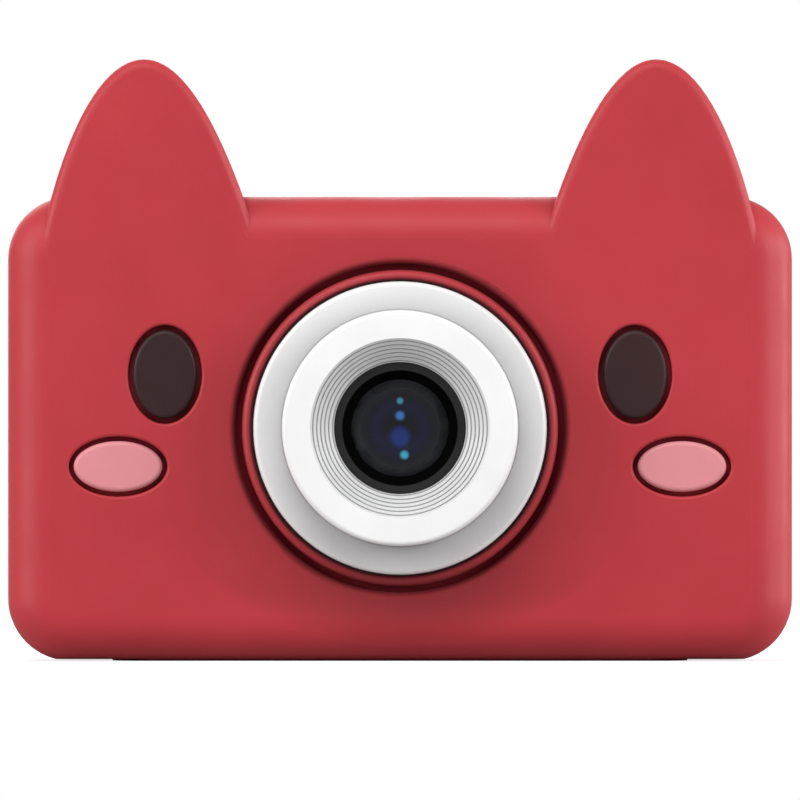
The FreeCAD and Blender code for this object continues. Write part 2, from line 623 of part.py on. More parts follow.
def rear_shell():
    """The rear half: a deep tray with the raised back panel and every opening of the controls."""
    body = new_body("rear_shell")
    rim = "case_back - case_lip - core_gap"
    extrude(body, "front", core_sketch("core_gap"), "shell_split", rim)
    extrude(body, "front", lambda sketch: centred(
        sketch, "0", "case_height / 2", "panel_width / 2", "panel_height / 2", "panel_corner"),
        rim, "panel_back")
    round_edges(body, "panel_round", edge_at("Y", "panel_back"))
    extrude(body, "front", core_sketch("(core_gap + shell_wall)"), "shell_split", f"{rim} - shell_wall",
            cut=True)
    extrude(body, "front", lambda sketch: centred(
        sketch, "0", "case_height / 2", "panel_width / 2 - shell_wall", "panel_height / 2 - shell_wall",
        "panel_corner - shell_wall"), f"{rim} - shell_wall", "panel_back - shell_wall", cut=True)
    extrude(body, "front", at_posts("rear_post"), "shell_split", f"{rim} - shell_wall / 2")
    extrude(body, "front", at_posts("shell_screw_slack"), "shell_split", "post_floor", cut=True)
    extrude(body, "front", at_posts("shell_head_recess"), "post_floor", f"{rim} + past", cut=True)

    def board_bosses(radius):
        def draw(sketch):
            for x, z in BOARD_SCREWS:
                circle(sketch, x, z, radius)
        return draw

    extrude(body, "front", board_bosses("board_boss"), "board_back", "panel_back - shell_wall / 2")
    extrude(body, "front", board_bosses("board_screw_hole"), "board_back",
            "board_back + board_hole_deep", cut=True)

    # back panel: screen, keys, loudspeaker grille, microphone and lamp
    inside = "panel_back - shell_wall"
    beyond = "panel_back + past"
    extrude(body, "front", lambda sketch: centred(
        sketch, "screen_side", "screen_height", "window_width / 2 + window_slack",
        "window_height / 2 + window_slack", "window_corner"),
        "panel_back - window_recess", beyond, cut=True)
    extrude(body, "front", lambda sketch: centred(
        sketch, "screen_side", "screen_height", "view_width / 2", "view_height / 2", "window_corner / 2"),
        inside, beyond, cut=True)
    for _, angle in ARROWS:
        extrude(body, "front", lambda sketch: sector(
            sketch, "arrow_inner - key_gap", "arrow_outer + key_gap", "arrow_spread + key_gap_spread",
            angle), inside, beyond, cut=True, shift=("dpad_side", "dpad_height"))

    def small_holes(sketch):
        circle(sketch, "dpad_side", "dpad_height", "ok_half + key_gap")
        circle(sketch, "menu_side", "menu_height", "menu_half + key_gap")
        circle(sketch, "play_side", "menu_height", "menu_half + key_gap")
        circle(sketch, "small_side", "mic_height", "mic_hole")
        circle(sketch, "small_side", "lamp_height", "lamp_half + lamp_gap")
        grille_x = "(speaker_left + speaker_right) / 2"
        grille_z = "(speaker_bottom + speaker_top) / 2"
        circle(sketch, grille_x, grille_z, "grille_hole")
        for hole in range(SIZES["grille_holes"]):
            angle = f"{hole} * 360 deg / grille_holes"
            circle(sketch, f"{grille_x} + grille_ring * cos({angle})",
                   f"{grille_z} + grille_ring * sin({angle})", "grille_hole")

    extrude(body, "front", small_holes, inside, beyond, cut=True)

    # top wall: the two buttons
    wall_bottom = "case_height - case_side_wall - core_gap - shell_wall"
    for kind, side in (("shutter", -1), ("power", 1)):
        extrude(body, "top", lambda sketch: circle(
            sketch, f"{side} * button_side", "button_depth", f"{kind}_half + button_gap"),
            wall_bottom, "case_height", cut=True)

    # right wall: charging socket and card slot
    wall_inside = "case_width / 2 - case_side_wall - core_gap - shell_wall"
    extrude(body, "side", lambda sketch: centred(
        sketch, "board_front - usb_thick / 2", "usb_height", "usb_thick / 2 + usb_hole_slack",
        "usb_half + usb_hole_slack", "usb_corner"), wall_inside, "case_width / 2", cut=True)
    extrude(body, "side", lambda sketch: centred(
        sketch, "card_front + card_thick / 2", "card_height", "card_slot_thick / 2", "card_slot_half"),
        wall_inside, "case_width / 2", cut=True)

    # left wall: a box let into the shell, crossed by the lanyard bar
    extrude(body, "side", lambda sketch: centred(
        sketch, "lanyard_depth", "lanyard_height", "lanyard_half_wide + lanyard_wall",
        "lanyard_half_high + lanyard_wall"), f"{negative(wall_inside)} - shell_wall / 2", "lanyard_block")
    extrude(body, "side", lambda sketch: centred(
        sketch, "lanyard_depth", "lanyard_height", "lanyard_half_wide", "lanyard_half_high"),
        "-case_width / 2", "lanyard_inner", cut=True)
    extrude(body, "top", lambda sketch: circle(
        sketch, "lanyard_pin_side", "lanyard_depth", "lanyard_pin"),
        "lanyard_height - lanyard_half_high - lanyard_wall",
        "lanyard_height + lanyard_half_high + lanyard_wall", cut=True)
    return subpart(body, "rear_shell")


def lanyard_bar():
    """The upright bar that a hand strap is looped round."""
    reach = "lanyard_half_high + lanyard_wall"
    bar = rod("lanyard_pin", "lanyard_pin", f"lanyard_height - ({reach})", f"lanyard_height + {reach}",
              x="lanyard_pin_side", y="lanyard_depth", axis="z")
    return subpart(bar, "lanyard_pin")


def screw_set(name, spots, head, head_thick, shank, long, seat, towards):
    """Cross-head screws along Y, their heads against a seat and their shanks going towards -Y or +Y."""
    screws = []
    for x, z in spots:
        if towards < 0:
            head_span = (seat, f"{seat} + {head_thick}")
            shank_span = (f"{seat} - {long}", seat)
            slot_span = (f"{seat} + {head_thick} / 2", f"{seat} + {head_thick}")
        else:
            head_span = (f"{seat} - {head_thick}", seat)
            shank_span = (seat, f"{seat} + {long}")
            slot_span = (f"{seat} - {head_thick}", f"{seat} - {head_thick} / 2")
        whole = joined("Screw", [rod("Head", head, *head_span, x=x, z=z),
                                 rod("Shank", shank, *shank_span, x=x, z=z)])
        arm = f"{head} * cross_reach"
        half_slot = "cross_slot / 2"
        cross = joined("Cross", [
            box("Slot", (f"{x} - {wide}", f"{x} + {wide}"), slot_span, (f"{z} - {tall}", f"{z} + {tall}"))
            for wide, tall in ((arm, half_slot), (half_slot, arm))
        ])
        screws.append(cut("Cross_head_screw", whole, cross))
    return group(name, screws)


def all_screws():
    posts = [(f"{side} * post_side", f"(case_height / 2 + {level} * post_rise)")
             for _, side in SIDES for _, level in SIDES]
    screw_set("shell_screws", posts, "shell_head", "shell_head_thick", "shell_screw", "shell_screw_long",
              "post_floor", -1)
    screw_set("board_screws", BOARD_SCREWS, "board_head", "board_head_thick", "board_screw",
              "board_screw_long", "board_front", 1)


# ---- lens ----

def turned_part(name, profile):
    """A piece of the lens, round about the optical axis."""
    body = new_body(name)
    turn(body, profile)
    place(body, z="lens_middle")
    return subpart(body, name)


def lens_hood():
    """The raised ring with its funnel, whose wall carries fine concentric grooves."""
    run = "(cone_bottom - hood_front)"
    fall = "(cone_outer - cone_inner)"
    profile = [("hood_back", "cone_inner"), ("hood_back", "hood_spigot"), ("base_front", "hood_spigot"),
               ("base_front", "hood_outer"), ("hood_front", "hood_outer", "hood_round"),
               ("hood_front", "cone_outer")]
    for groove in range(SIZES["cone_grooves"]):
        share = f"({groove} + cone_first) / cone_grooves"
        y = f"hood_front + {run} * {share}"
        radius = f"cone_outer - {fall} * {share}"
        profile += [(f"{y} - cone_groove / 2", f"{radius} + cone_groove / 2"),
                    (f"{y} + cone_groove", f"{radius} + cone_groove"),
                    (f"{y} + cone_groove / 2", f"{radius} - cone_groove / 2")]
    profile.append(("cone_bottom", "cone_inner"))
    return turned_part("lens_hood", profile)


def ball(name, radius, middle):
    sphere = doc.addObject("Part::Sphere", name)
    bind(sphere, "Radius", radius)
    place(sphere, y=middle, z="lens_middle")
    return sphere


def lens_element(name, half, front, back, curves):
    """Glass: a disc cut to round faces by one or two large balls."""
    blank = rod("Blank", half, front, back, z="lens_middle")
    balls = [ball("Curve", radius, middle) for radius, middle in curves]
    glass = doc.addObject("Part::MultiCommon", name)
    glass.Shapes = [blank] + balls
    return subpart(glass, name)


def lens_stack():
    face = "case_front + case_front_wall + core_gap"
    turned_part("lens_base_ring", [
        (face, "base_bore"), ("base_front", "base_bore"), ("base_front", "base_flat"),
        ("base_front + base_fall", "base_outer", "base_round"), (face, "base_outer")])
    lens_hood()
    turned_part("lens_retainer", [
        ("barrel_front", "retainer_lip"), ("barrel_front", "retainer_outer"),
        ("retainer_front", "retainer_outer"), ("retainer_front", "retainer_flat"),
        ("retainer_lip_front", "retainer_lip")])
    turned_part("lens_barrel", [
        ("barrel_front", "lens_seat"), ("barrel_front", "barrel_outer"), ("barrel_shoulder", "barrel_outer"),
        ("barrel_shoulder", "barrel_thread"), ("barrel_back", "barrel_thread"), ("barrel_back", "rear_bore"),
        ("middle_bore_back", "rear_bore"), ("middle_bore_back", "middle_bore"),
        ("lens_seat_back", "middle_bore"), ("lens_seat_back", "lens_seat")])
    lens_element("front_lens", "front_lens_half", "front_lens_tip", "lens_seat_back",
                 [("front_lens_curve", "front_lens_tip + front_lens_curve")])
    for name, half in (("middle", "middle_bore"), ("rear", "rear_bore")):
        front, back = f"{name}_lens_front", f"{name}_lens_back"
        lens_element(f"{name}_lens", half, front, back,
                     [("inner_lens_curve", f"{front} + inner_lens_curve"),
                      ("inner_lens_curve", f"{back} - inner_lens_curve")])


# ---- image sensor ----

def square(half, z="lens_middle"):
    return lambda sketch: centred(sketch, "0", z, half, half)


def sensor_group():
    body = new_body("sensor_housing")
    extrude(body, "front", square("housing_half"), "collar_back", "housing_back")
    extrude(body, "front", lambda sketch: circle(sketch, "0", "lens_middle", "barrel_thread"),
            "collar_back", "housing_step", cut=True)
    extrude(body, "front", square("housing_window"), "housing_step", "housing_well_front", cut=True)
    extrude(body, "front", square("housing_well"), "housing_well_front", "housing_back", cut=True)
    subpart(body, "sensor_housing")

    def plate(name, half, front, back):
        thing = box(name, (f"-{half}", half), (front, back),
                    (f"lens_middle - {half}", f"lens_middle + {half}"))
        return subpart(thing, name)

    plate("infrared_filter", "filter_half", "housing_well_front", "housing_well_front + filter_thick")
    plate("image_sensor", "sensor_half", "housing_back - sensor_thick", "housing_back")
    plate("sensor_board", "sensor_board_half", "housing_back", "housing_back + sensor_board_thick")

    # flat cable, flat on the small board, across the gap and flat on the main board
    rear = "housing_back + sensor_board_thick"
    level, outer_bend = "sensor_flex_level", "flex_bend + flex_thick"
    body = new_body("sensor_flex")
    extrude(body, "side", lambda sketch: outline(sketch, [
        (rear, "sensor_flex_top"), (rear, level, outer_bend),
        ("board_front - flex_thick", level, "flex_bend"), ("board_front - flex_thick", "sensor_flex_end"),
        ("board_front", "sensor_flex_end"), ("board_front", f"{level} + flex_thick", outer_bend),
        (f"{rear} + flex_thick", f"{level} + flex_thick", "flex_bend"),
        (f"{rear} + flex_thick", "sensor_flex_top")]), "-sensor_flex_half", "sensor_flex_half")
    subpart(body, "sensor_flex")


# ---- main board and what is soldered to it ----

def main_board():
    body = new_body("main_board")
    step_x = "board_half - notch_wide"
    low, high = "board_bottom + notch_high", "board_top - notch_high"
    extrude(body, "front", lambda sketch: outline(sketch, [
        (negative(step_x), "board_bottom"), (step_x, "board_bottom"), (step_x, low), ("board_half", low),
        ("board_half", high), (step_x, high), (step_x, "board_top"), (negative(step_x), "board_top"),
        (negative(step_x), high), ("-board_half", high), ("-board_half", low), (negative(step_x), low)]),
        "board_front", "board_back")

    def holes(sketch):
        for x, z in BOARD_SCREWS:
            circle(sketch, x, z, "board_screw_slack")

    extrude(body, "front", holes, "board_front", "board_back", cut=True)
    subpart(body, "main_board")

    chips = [
        box("Chip", (f"{x} - {wide} / 2", f"{x} + {wide} / 2"), (f"board_front - {thick}", "board_front"),
            (f"{z} - {tall} / 2", f"{z} + {tall} / 2"))
        for x, z, wide, tall, thick in CHIPS]
    group("board_chips", chips)


def sockets_and_card():
    body = new_body("usb_socket")
    usb_y = "board_front - usb_thick / 2"
    inner_end = "usb_inner + usb_end_wall"
    extrude(body, "side", lambda sketch: centred(
        sketch, usb_y, "usb_height", "usb_thick / 2", "usb_half", "usb_corner"), "usb_inner", "usb_mouth")
    extrude(body, "side", lambda sketch: centred(
        sketch, usb_y, "usb_height", "usb_thick / 2 - usb_wall", "usb_half - usb_wall",
        "usb_corner - usb_wall"), inner_end, "usb_mouth", cut=True)
    extrude(body, "side", lambda sketch: centred(
        sketch, usb_y, "usb_height", "usb_tongue_thick / 2", "usb_tongue_half"),
        inner_end, "usb_tongue_end")
    subpart(body, "usb_socket")

    body = new_body("card_socket")
    card_y = "card_front + card_thick / 2"
    extrude(body, "side", lambda sketch: rectangle(
        sketch, "socket_front", "board_front", "card_height - socket_half", "card_height + socket_half"),
        "socket_inner", "board_half")
    extrude(body, "side", lambda sketch: centred(
        sketch, card_y, "card_height", "card_thick / 2 + socket_slack", "card_half + socket_slack"),
        "socket_well", "board_half", cut=True)
    subpart(body, "card_socket")

    body = new_body("memory_card")
    far_end = "card_inner + card_long"
    bottom, top = "card_height - card_half", "card_height + card_half"
    extrude(body, "front", lambda sketch: outline(sketch, [
        ("card_inner", bottom), (far_end, bottom), (far_end, top), ("card_inner + card_corner", top),
        ("card_inner", f"{top} - card_corner")]), "card_front", "card_front + card_thick")
    subpart(body, "memory_card")


def display():
    """The colour screen: foam pad, metal frame, glass panel, window and flat cable."""
    half_x, half_z = "frame_width / 2", "frame_height / 2"
    around = [("screen_side", half_x), ("screen_height", half_z)]

    def spans(inset):
        return [(f"{middle} - {half} + ({inset})", f"{middle} + {half} - ({inset})")
                for middle, half in around]

    pad_x, pad_z = spans("display_pad_inset")
    subpart(box("display_pad", pad_x, ("board_back", "frame_front"), pad_z), "display_pad")
    body = new_body("display_frame")
    extrude(body, "front", lambda sketch: centred(sketch, "screen_side", "screen_height", half_x, half_z),
            "frame_front", "frame_back")
    extrude(body, "front", lambda sketch: centred(
        sketch, "screen_side", "screen_height", f"{half_x} - frame_wall", f"{half_z} - frame_wall"),
        "frame_front + frame_wall", "frame_back", cut=True)
    subpart(body, "display_frame")
    glass_x, glass_z = spans("frame_wall + panel_gap")
    subpart(box("display_panel", glass_x, ("frame_front + frame_wall", "frame_back"), glass_z),
            "display_panel")

    body = new_body("screen_window")
    front = "panel_back - window_recess"
    extrude(body, "front", lambda sketch: centred(
        sketch, "screen_side", "screen_height", "window_width / 2", "window_height / 2", "window_corner"),
        front, f"{front} + window_thick")
    subpart(body, "screen_window")

    # flat cable, under the frame's lower edge and back to the board
    bottom = f"screen_height - {half_z}"
    y, fold = "frame_front + display_flex_inset", "display_flex_fold"
    body = new_body("display_flex")
    extrude(body, "side", lambda sketch: outline(sketch, [
        (y, bottom), (y, fold, "display_flex_bend"), ("board_back", fold),
        ("board_back", f"{fold} - flex_thick"),
        (f"{y} + flex_thick", f"{fold} - flex_thick", "display_flex_bend + flex_thick"),
        (f"{y} + flex_thick", bottom)]),
        "screen_side + display_flex_left", "screen_side + display_flex_right")
    subpart(body, "display_flex")


# ---- keys, buttons and their switches ----

def switch_body(x, z):
    base = box("Base", (f"{x} - switch_half", f"{x} + switch_half"), ("board_back", "switch_back"),
               (f"{z} - switch_half", f"{z} + switch_half"))
    return cut("Switch", base, rod("Bore", "switch_bore", "switch_floor", "switch_back", x=x, z=z))


def rear_stem(name, x, z):
    subpart(rod(name, "stem", "stem_front", "plunger_front", x=x, z=z), name)


def round_key(name, x, z, half, flange, back):
    """A round cap with a flange behind the panel and a plunger that meets the switch's stem."""
    body = new_body(name)
    turn(body, [("plunger_front", "0"), ("plunger_front", "plunger"), ("flange_front", "plunger"),
                ("flange_front", flange), ("flange_back", flange), ("flange_back", half),
                (back, half, "key_round"), (back, "0")])
    place(body, x, "0", z)
    subpart(body, name)


def arrow_key(name, angle):
    """One quarter of the ring of arrow keys, drawn pointing up and turned about the ring's middle."""
    body = new_body(name)
    extrude(body, "front", lambda sketch: sector(sketch, "arrow_inner", "arrow_outer", "arrow_spread"),
            "flange_back", "arrow_back")
    round_edges(body, "key_round", edge_at("Y", "arrow_back"))
    extrude(body, "front", lambda sketch: sector(
        sketch, "arrow_flange_inner", "arrow_flange_outer", "arrow_flange_spread"),
        "flange_front", "flange_back")
    extrude(body, "front", lambda sketch: circle(sketch, "0", "arrow_switch", "plunger"),
            "plunger_front", "flange_front")
    body.Placement = FreeCAD.Placement(Vector(), FreeCAD.Rotation(Vector(0, 1, 0), angle))
    place(body, "dpad_side", "0", "dpad_height")
    subpart(body, name)


def rear_keys():
    spots = {"ok": ("dpad_side", "dpad_height"), "menu": ("menu_side", "menu_height"),
             "play": ("play_side", "menu_height")}
    round_key("key_ok", *spots["ok"], "ok_half", "ok_flange", "ok_back")
    round_key("key_menu", *spots["menu"], "menu_half", "menu_flange", "menu_back")
    round_key("key_play", *spots["play"], "menu_half", "menu_flange", "menu_back")
    for word, angle in ARROWS:
        arrow_key(f"key_{word}", angle)
        across = round(math.sin(math.radians(angle)))
        upward = round(math.cos(math.radians(angle)))
        spots[word] = (f"(dpad_side + {across} * arrow_switch)", f"(dpad_height + {upward} * arrow_switch)")
    for word, (x, z) in spots.items():
        rear_stem(f"stem_{word}", x, z)
    group("switch_bodies", [switch_body(x, z) for x, z in spots.values()])


def top_buttons():
    side_switches = []
    for kind, side in (("shutter", -1), ("power", 1)):
        x = f"{side} * button_side"
        half, top = f"{kind}_half", f"{kind}_top"
        body = new_body(f"{kind}_button")
        turn(body, [("0", "button_stem_top"), ("button_plunger", "button_stem_top"),
                    ("button_plunger", "button_flange_bottom"),
                    (f"{half} + button_flange", "button_flange_bottom"),
                    (f"{half} + button_flange", "button_flange_top"), (half, "button_flange_top"),
                    (half, top, "button_round"), ("0", top)], axis="z")
        place(body, x, "button_depth", "0")
        subpart(body, body.Name)
        subpart(rod(f"stem_{kind}", "button_stem", "button_stem_bottom", "button_stem_top",
                    x=x, y="button_depth", axis="z"), f"stem_{kind}")
        block = box("Base", (f"{x} - side_switch_width / 2", f"{x} + side_switch_width / 2"),
                    ("button_depth - side_switch_half", "button_depth + side_switch_half"),
                    ("side_switch_top - side_switch_high", "side_switch_top"))
        bore = rod("Bore", "side_switch_bore", "side_switch_floor", "side_switch_top",
                   x=x, y="button_depth", axis="z")
        side_switches.append(cut("Switch", block, bore))
    group("side_switch_bodies", side_switches)


# ---- battery, loudspeaker, microphone, lamp ----

def round_bar(plane, radius, path, profile_at, level):
    """A wire of round section along straight runs joined by tangent arcs."""
    body = new_body("Wire")
    spine_plane, ring_plane = plane
    spine = sketch_on(body, spine_plane, level)
    outline(spine, path, closed=False)
    ring = sketch_on(body, ring_plane, profile_at[2])
    circle(ring, profile_at[0], profile_at[1], radius)
    pipe = body.newObject("PartDesign::AdditivePipe", "Pipe")
    pipe.Profile = ring
    pipe.Spine = (spine, [])
    doc.recompute()
    expected = spine.Shape.Length * math.pi * number(radius) ** 2
    if abs(body.Shape.Volume / expected - 1) > 0.01:
        raise ValueError("a wire's volume differs from its section times its length")
    return body


def battery_and_leads():
    body = new_body("battery")
    extrude(body, "front", lambda sketch: rectangle(
        sketch, "battery_left", "battery_right", "battery_bottom", "battery_top"),
        "battery_front", "battery_back")
    upright = number("battery_top - battery_bottom")
    round_edges(body, "battery_round", lambda edge: abs(edge.BoundBox.ZLength - upright) < 0.001)
    subpart(body, "battery")
    plug_y = "(plug_body_front + board_front) / 2"
    leads = []
    for _, side in SIDES:
        x = f"lead_side + {side} * lead_gap"
        leads.append(round_bar(("side", "top"), "lead", [
            ("lead_front", "battery_top"), ("lead_front", "lead_top", "lead_bend"),
            (plug_y, "lead_top", "lead_bend"), (plug_y, "plug_body_top")],
            (x, "lead_front", "battery_top"), x))
    group("battery_leads", leads)
    subpart(box("battery_plug", ("lead_side - plug_body_half", "lead_side + plug_body_half"),
                ("plug_body_front", "board_front"), ("plug_body_bottom", "plug_body_top")), "battery_plug")


def sound_and_lamp():
    body = new_body("speaker")
    extrude(body, "front", lambda sketch: rectangle(
        sketch, "speaker_left", "speaker_right", "speaker_bottom", "speaker_top", "speaker_corner"),
        "speaker_front", "speaker_back")
    subpart(body, "speaker")
    wires = []
    for _, side in SIDES:
        z = f"(speaker_bottom + speaker_top) / 2 + {side} * lead_gap"
        end = "speaker_right + wire_run"
        wires.append(round_bar(("top", "side"), "wire", [
            ("speaker_right", "wire_level"), (end, "wire_level", "wire_bend"), (end, "board_back")],
            ("wire_level", z, "speaker_right"), z))
    group("speaker_leads", wires)
    subpart(rod("microphone", "mic_half", "board_back", "mic_back", x="small_side", z="mic_height"),
            "microphone")
    subpart(rod("light_pipe", "lamp_half", "board_back", "panel_back", x="small_side", z="lamp_height"),
            "light_pipe")


# ---- the whole camera ----

silicone_case()
for pad_kind in ("eye", "cheek"):
    for side_word, side_sign in SIDES:
        face_pad(pad_kind, side_word, side_sign)
port_plug()
front_shell()
rear_shell()
lanyard_bar()
all_screws()
lens_stack()
sensor_group()
main_board()
sockets_and_card()
display()
rear_keys()
top_buttons()
battery_and_leads()
sound_and_lamp()
doc.recompute()

for thing in doc.Objects:
    if "Invalid" in thing.State or "Error" in thing.State:
        raise ValueError(f"{thing.Name} ({thing.Label}) did not recompute: {thing.State}")
for piece in subparts:
    if piece.Shape.isNull() or not piece.Shape.isValid() or not piece.Shape.Solids:
        raise ValueError(f"{piece.Label} has no valid solid")

os.makedirs("parts", exist_ok=True)
for piece in subparts:
    piece.Shape.exportStep(os.path.join("parts", piece.Label + ".step"))
print(len(subparts), "sub-parts written")
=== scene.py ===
import json
import math

import bmesh
import bpy
from mathutils import Matrix, Vector


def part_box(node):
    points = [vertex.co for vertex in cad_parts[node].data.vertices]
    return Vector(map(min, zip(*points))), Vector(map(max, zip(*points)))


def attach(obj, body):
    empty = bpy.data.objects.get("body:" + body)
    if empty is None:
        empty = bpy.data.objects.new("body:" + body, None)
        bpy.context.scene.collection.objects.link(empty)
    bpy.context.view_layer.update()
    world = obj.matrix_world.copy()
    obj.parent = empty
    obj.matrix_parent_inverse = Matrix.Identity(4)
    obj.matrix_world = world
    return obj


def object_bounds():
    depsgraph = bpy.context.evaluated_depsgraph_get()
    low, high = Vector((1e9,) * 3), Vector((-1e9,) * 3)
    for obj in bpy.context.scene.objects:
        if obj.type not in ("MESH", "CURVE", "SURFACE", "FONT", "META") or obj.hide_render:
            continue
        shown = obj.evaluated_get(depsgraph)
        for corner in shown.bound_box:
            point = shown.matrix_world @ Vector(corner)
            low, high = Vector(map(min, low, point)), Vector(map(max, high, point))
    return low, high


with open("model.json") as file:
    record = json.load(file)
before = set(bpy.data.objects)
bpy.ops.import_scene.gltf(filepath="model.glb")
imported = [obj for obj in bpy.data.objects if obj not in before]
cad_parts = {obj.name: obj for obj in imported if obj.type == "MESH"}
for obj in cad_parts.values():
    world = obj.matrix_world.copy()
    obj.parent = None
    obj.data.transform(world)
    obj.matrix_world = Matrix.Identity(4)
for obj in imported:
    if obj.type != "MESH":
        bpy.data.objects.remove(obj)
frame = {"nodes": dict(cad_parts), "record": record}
cad_low, cad_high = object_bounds()
nodes = frame["nodes"]
scene = bpy.context.scene

MM = 0.001
LENS = (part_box("lens_hood")[0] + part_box("lens_hood")[1]) / 2  # a point on the lens axis

# linear colours; each groove colour is painted shade, laid into grooves and corners where shade would fall
RED = (0.475, 0.032, 0.043)
RED_CLOUD = (0.435, 0.0275, 0.037)
RED_GROOVE_SHADE = (0.17, 0.004, 0.009)
BROWN = (0.036, 0.0125, 0.0135)
BROWN_GROOVE_SHADE = (0.012, 0.003, 0.003)
PINK = (0.71, 0.262, 0.288)
PINK_GROOVE_SHADE = (0.30, 0.06, 0.07)
WHITE = (0.87, 0.87, 0.87)
WHITE_GROOVE_SHADE = (0.36, 0.36, 0.37)
BLACK = (0.010, 0.010, 0.011)
RING_GREY = (0.030, 0.030, 0.0307)
RING_BLACK = (0.0018, 0.0018, 0.0019)
BARREL_GREY = (0.105, 0.105, 0.107)
KEY_WHITE = (0.80, 0.80, 0.79)
BOARD_GREEN = (0.012, 0.10, 0.035)
TRACK_GREEN = (0.03, 0.20, 0.06)
FOIL_LIGHT = (0.62, 0.63, 0.65)
FOIL_DARK = (0.5, 0.51, 0.53)
CORE_BLACK = (0.002, 0.002, 0.003)
# emission colours: the glass deep in the lens and its mount glow with painted light, with a painted violet
# reflection ring
CORE_PAINTED_GLOW = (0.018, 0.018, 0.019)
MOUNT_PAINTED_GLOW = (0.024, 0.024, 0.025)
HALO_REFLECTION_VIOLET = (0.020, 0.019, 0.047)
# painted glints: reflections of the lamps, given as glowing spots on the glass
PAINTED_GLINTS = [  # across, up, radius and softness in millimetres, and colour
    (0.0, 3.4, 0.34, 0.25, (0.07, 0.30, 0.38)),
    (0.0, 1.55, 0.52, 0.26, (0.055, 0.17, 0.46)),
    (0.0, -1.1, 1.15, 0.55, (0.022, 0.042, 0.17)),
    (0.55, -3.35, 0.46, 0.28, (0.06, 0.42, 0.55)),
]

# distances from the lens axis, in millimetres
RING_SLOPE = 7.2  # the dark ring starts to slope in to the glass
CONE_REACH = 11.2  # the stepped cone ends at the hood's flat front
BLEND = 0.05  # half the width over which one colour turns into the next
PAINTED_SHADE_REACH = (22, 34)  # between these the painted shade on the face fades out
CORE_RIM = (4.0, 5.0)  # between these the painted glow of the glass turns into that of its mount
HALO_RADIUS = 3.0  # the painted violet reflection ring in the glass
HALO_WIDTH = 1.3  # from the ring's middle to where it has faded out

# weights on each axis of a distance
FROM_AXIS = (1, 0, 1)  # leaves out the depth
FROM_AXIS_OVAL = (1, 0, 1.25)  # the same, a quarter wider than tall

# camera and studio, in metres
CAMERA_AWAY = 3.0  # from the front of the lens
CAMERA_HEIGHT = 32.6 * MM  # above the underside
FIT_DEPTH = 5.0 * MM  # behind the front of the lens, where the picture's width is measured
MARGIN = 1.0175  # the picture's width, in widths of the object
SENSOR_WIDTH = 36  # millimetres
AIM = (0, 0, 0.03)  # where the lamps point
WALL_HEIGHTS = (-0.8, 0.9)  # a direction's height, where -1 is straight down and 1 straight up
WALL_LEVELS = (0.10, 0.53)  # how bright the studio's walls are at those heights
FLOOR_RADIUS = 0.6
FLOOR_GAP = 0.05 * MM
FLOOR_GREY = 0.42  # how much light the floor returns
FLOOR_GLOW = 0.72  # added for a viewer, so that the floor looks white
LAMPS = [  # name, place, width and height, watts
    ("left", (-0.82, -0.38, 0.28), (0.45, 0.45), 4.9),
    ("right", (0.82, -0.38, 0.28), (0.45, 0.45), 5.0),
    ("above", (-0.16, -0.55, 0.66), (0.55, 0.35), 3.1),
    ("rim", (0.80, 0.25, 0.12), (0.2, 0.5), 3.3),
    ("behind", (-0.15, 0.80, 0.34), (0.6, 0.6), 3.4),
]


# ---- camera and studio ----

def set_range(node, start, end, low, high):
    """Makes a Map Range node turn start..end into low..high."""
    for key, number in (("From Min", start), ("From Max", end), ("To Min", low), ("To Max", high)):
        node.inputs[key].default_value = number


def look_at(thing, spot):
    direction = Vector(spot) - thing.location
    thing.rotation_euler = direction.to_track_quat("-Z", "Y").to_euler()


def add_camera():
    """Straight on from far in front, so that the view is almost without perspective."""
    data = bpy.data.cameras.new("camera")
    camera = bpy.data.objects.new("camera", data)
    scene.collection.objects.link(camera)
    seen_width = (cad_high.x - cad_low.x) * MARGIN
    height = cad_low.z + CAMERA_HEIGHT
    camera.location = (0, cad_low.y - CAMERA_AWAY, height)
    look_at(camera, (0, 0, height))
    data.sensor_width = SENSOR_WIDTH
    data.lens = SENSOR_WIDTH * (CAMERA_AWAY + FIT_DEPTH) / seen_width
    data.clip_start = 0.1
    data.clip_end = 20
    scene.camera = camera


def add_softbox(name, place, size, power):
    light = bpy.data.lights.new(name, "AREA")
    light.shape = "RECTANGLE"
    light.size, light.size_y = size
    light.energy = power
    lamp = bpy.data.objects.new(name, light)
    scene.collection.objects.link(lamp)
    lamp.location = place
    look_at(lamp, AIM)


def add_world():
    """Dim studio walls, brighter overhead, which a viewer sees as plain white."""
    world = bpy.data.worlds.new("studio")
    scene.world = world
    world.use_nodes = True
    tree = world.node_tree
    tree.nodes.clear()
    coords = tree.nodes.new("ShaderNodeTexCoord")
    split = tree.nodes.new("ShaderNodeSeparateXYZ")
    height = tree.nodes.new("ShaderNodeMapRange")
    set_range(height, *WALL_HEIGHTS, *WALL_LEVELS)
    walls = tree.nodes.new("ShaderNodeBackground")
    seen = tree.nodes.new("ShaderNodeBackground")
    for background in (walls, seen):
        background.inputs["Color"].default_value = (1, 1, 1, 1)
    path = tree.nodes.new("ShaderNodeLightPath")
    mix = tree.nodes.new("ShaderNodeMixShader")
    out = tree.nodes.new("ShaderNodeOutputWorld")
    tree.links.new(coords.outputs["Generated"], split.inputs[0])
    tree.links.new(split.outputs["Z"], height.inputs["Value"])
    tree.links.new(height.outputs["Result"], walls.inputs["Strength"])
    seen.inputs["Strength"].default_value = 1.0
    tree.links.new(path.outputs["Is Camera Ray"], mix.inputs["Fac"])
    tree.links.new(walls.outputs[0], mix.inputs[1])
    tree.links.new(seen.outputs[0], mix.inputs[2])
    tree.links.new(mix.outputs[0], out.inputs["Surface"])


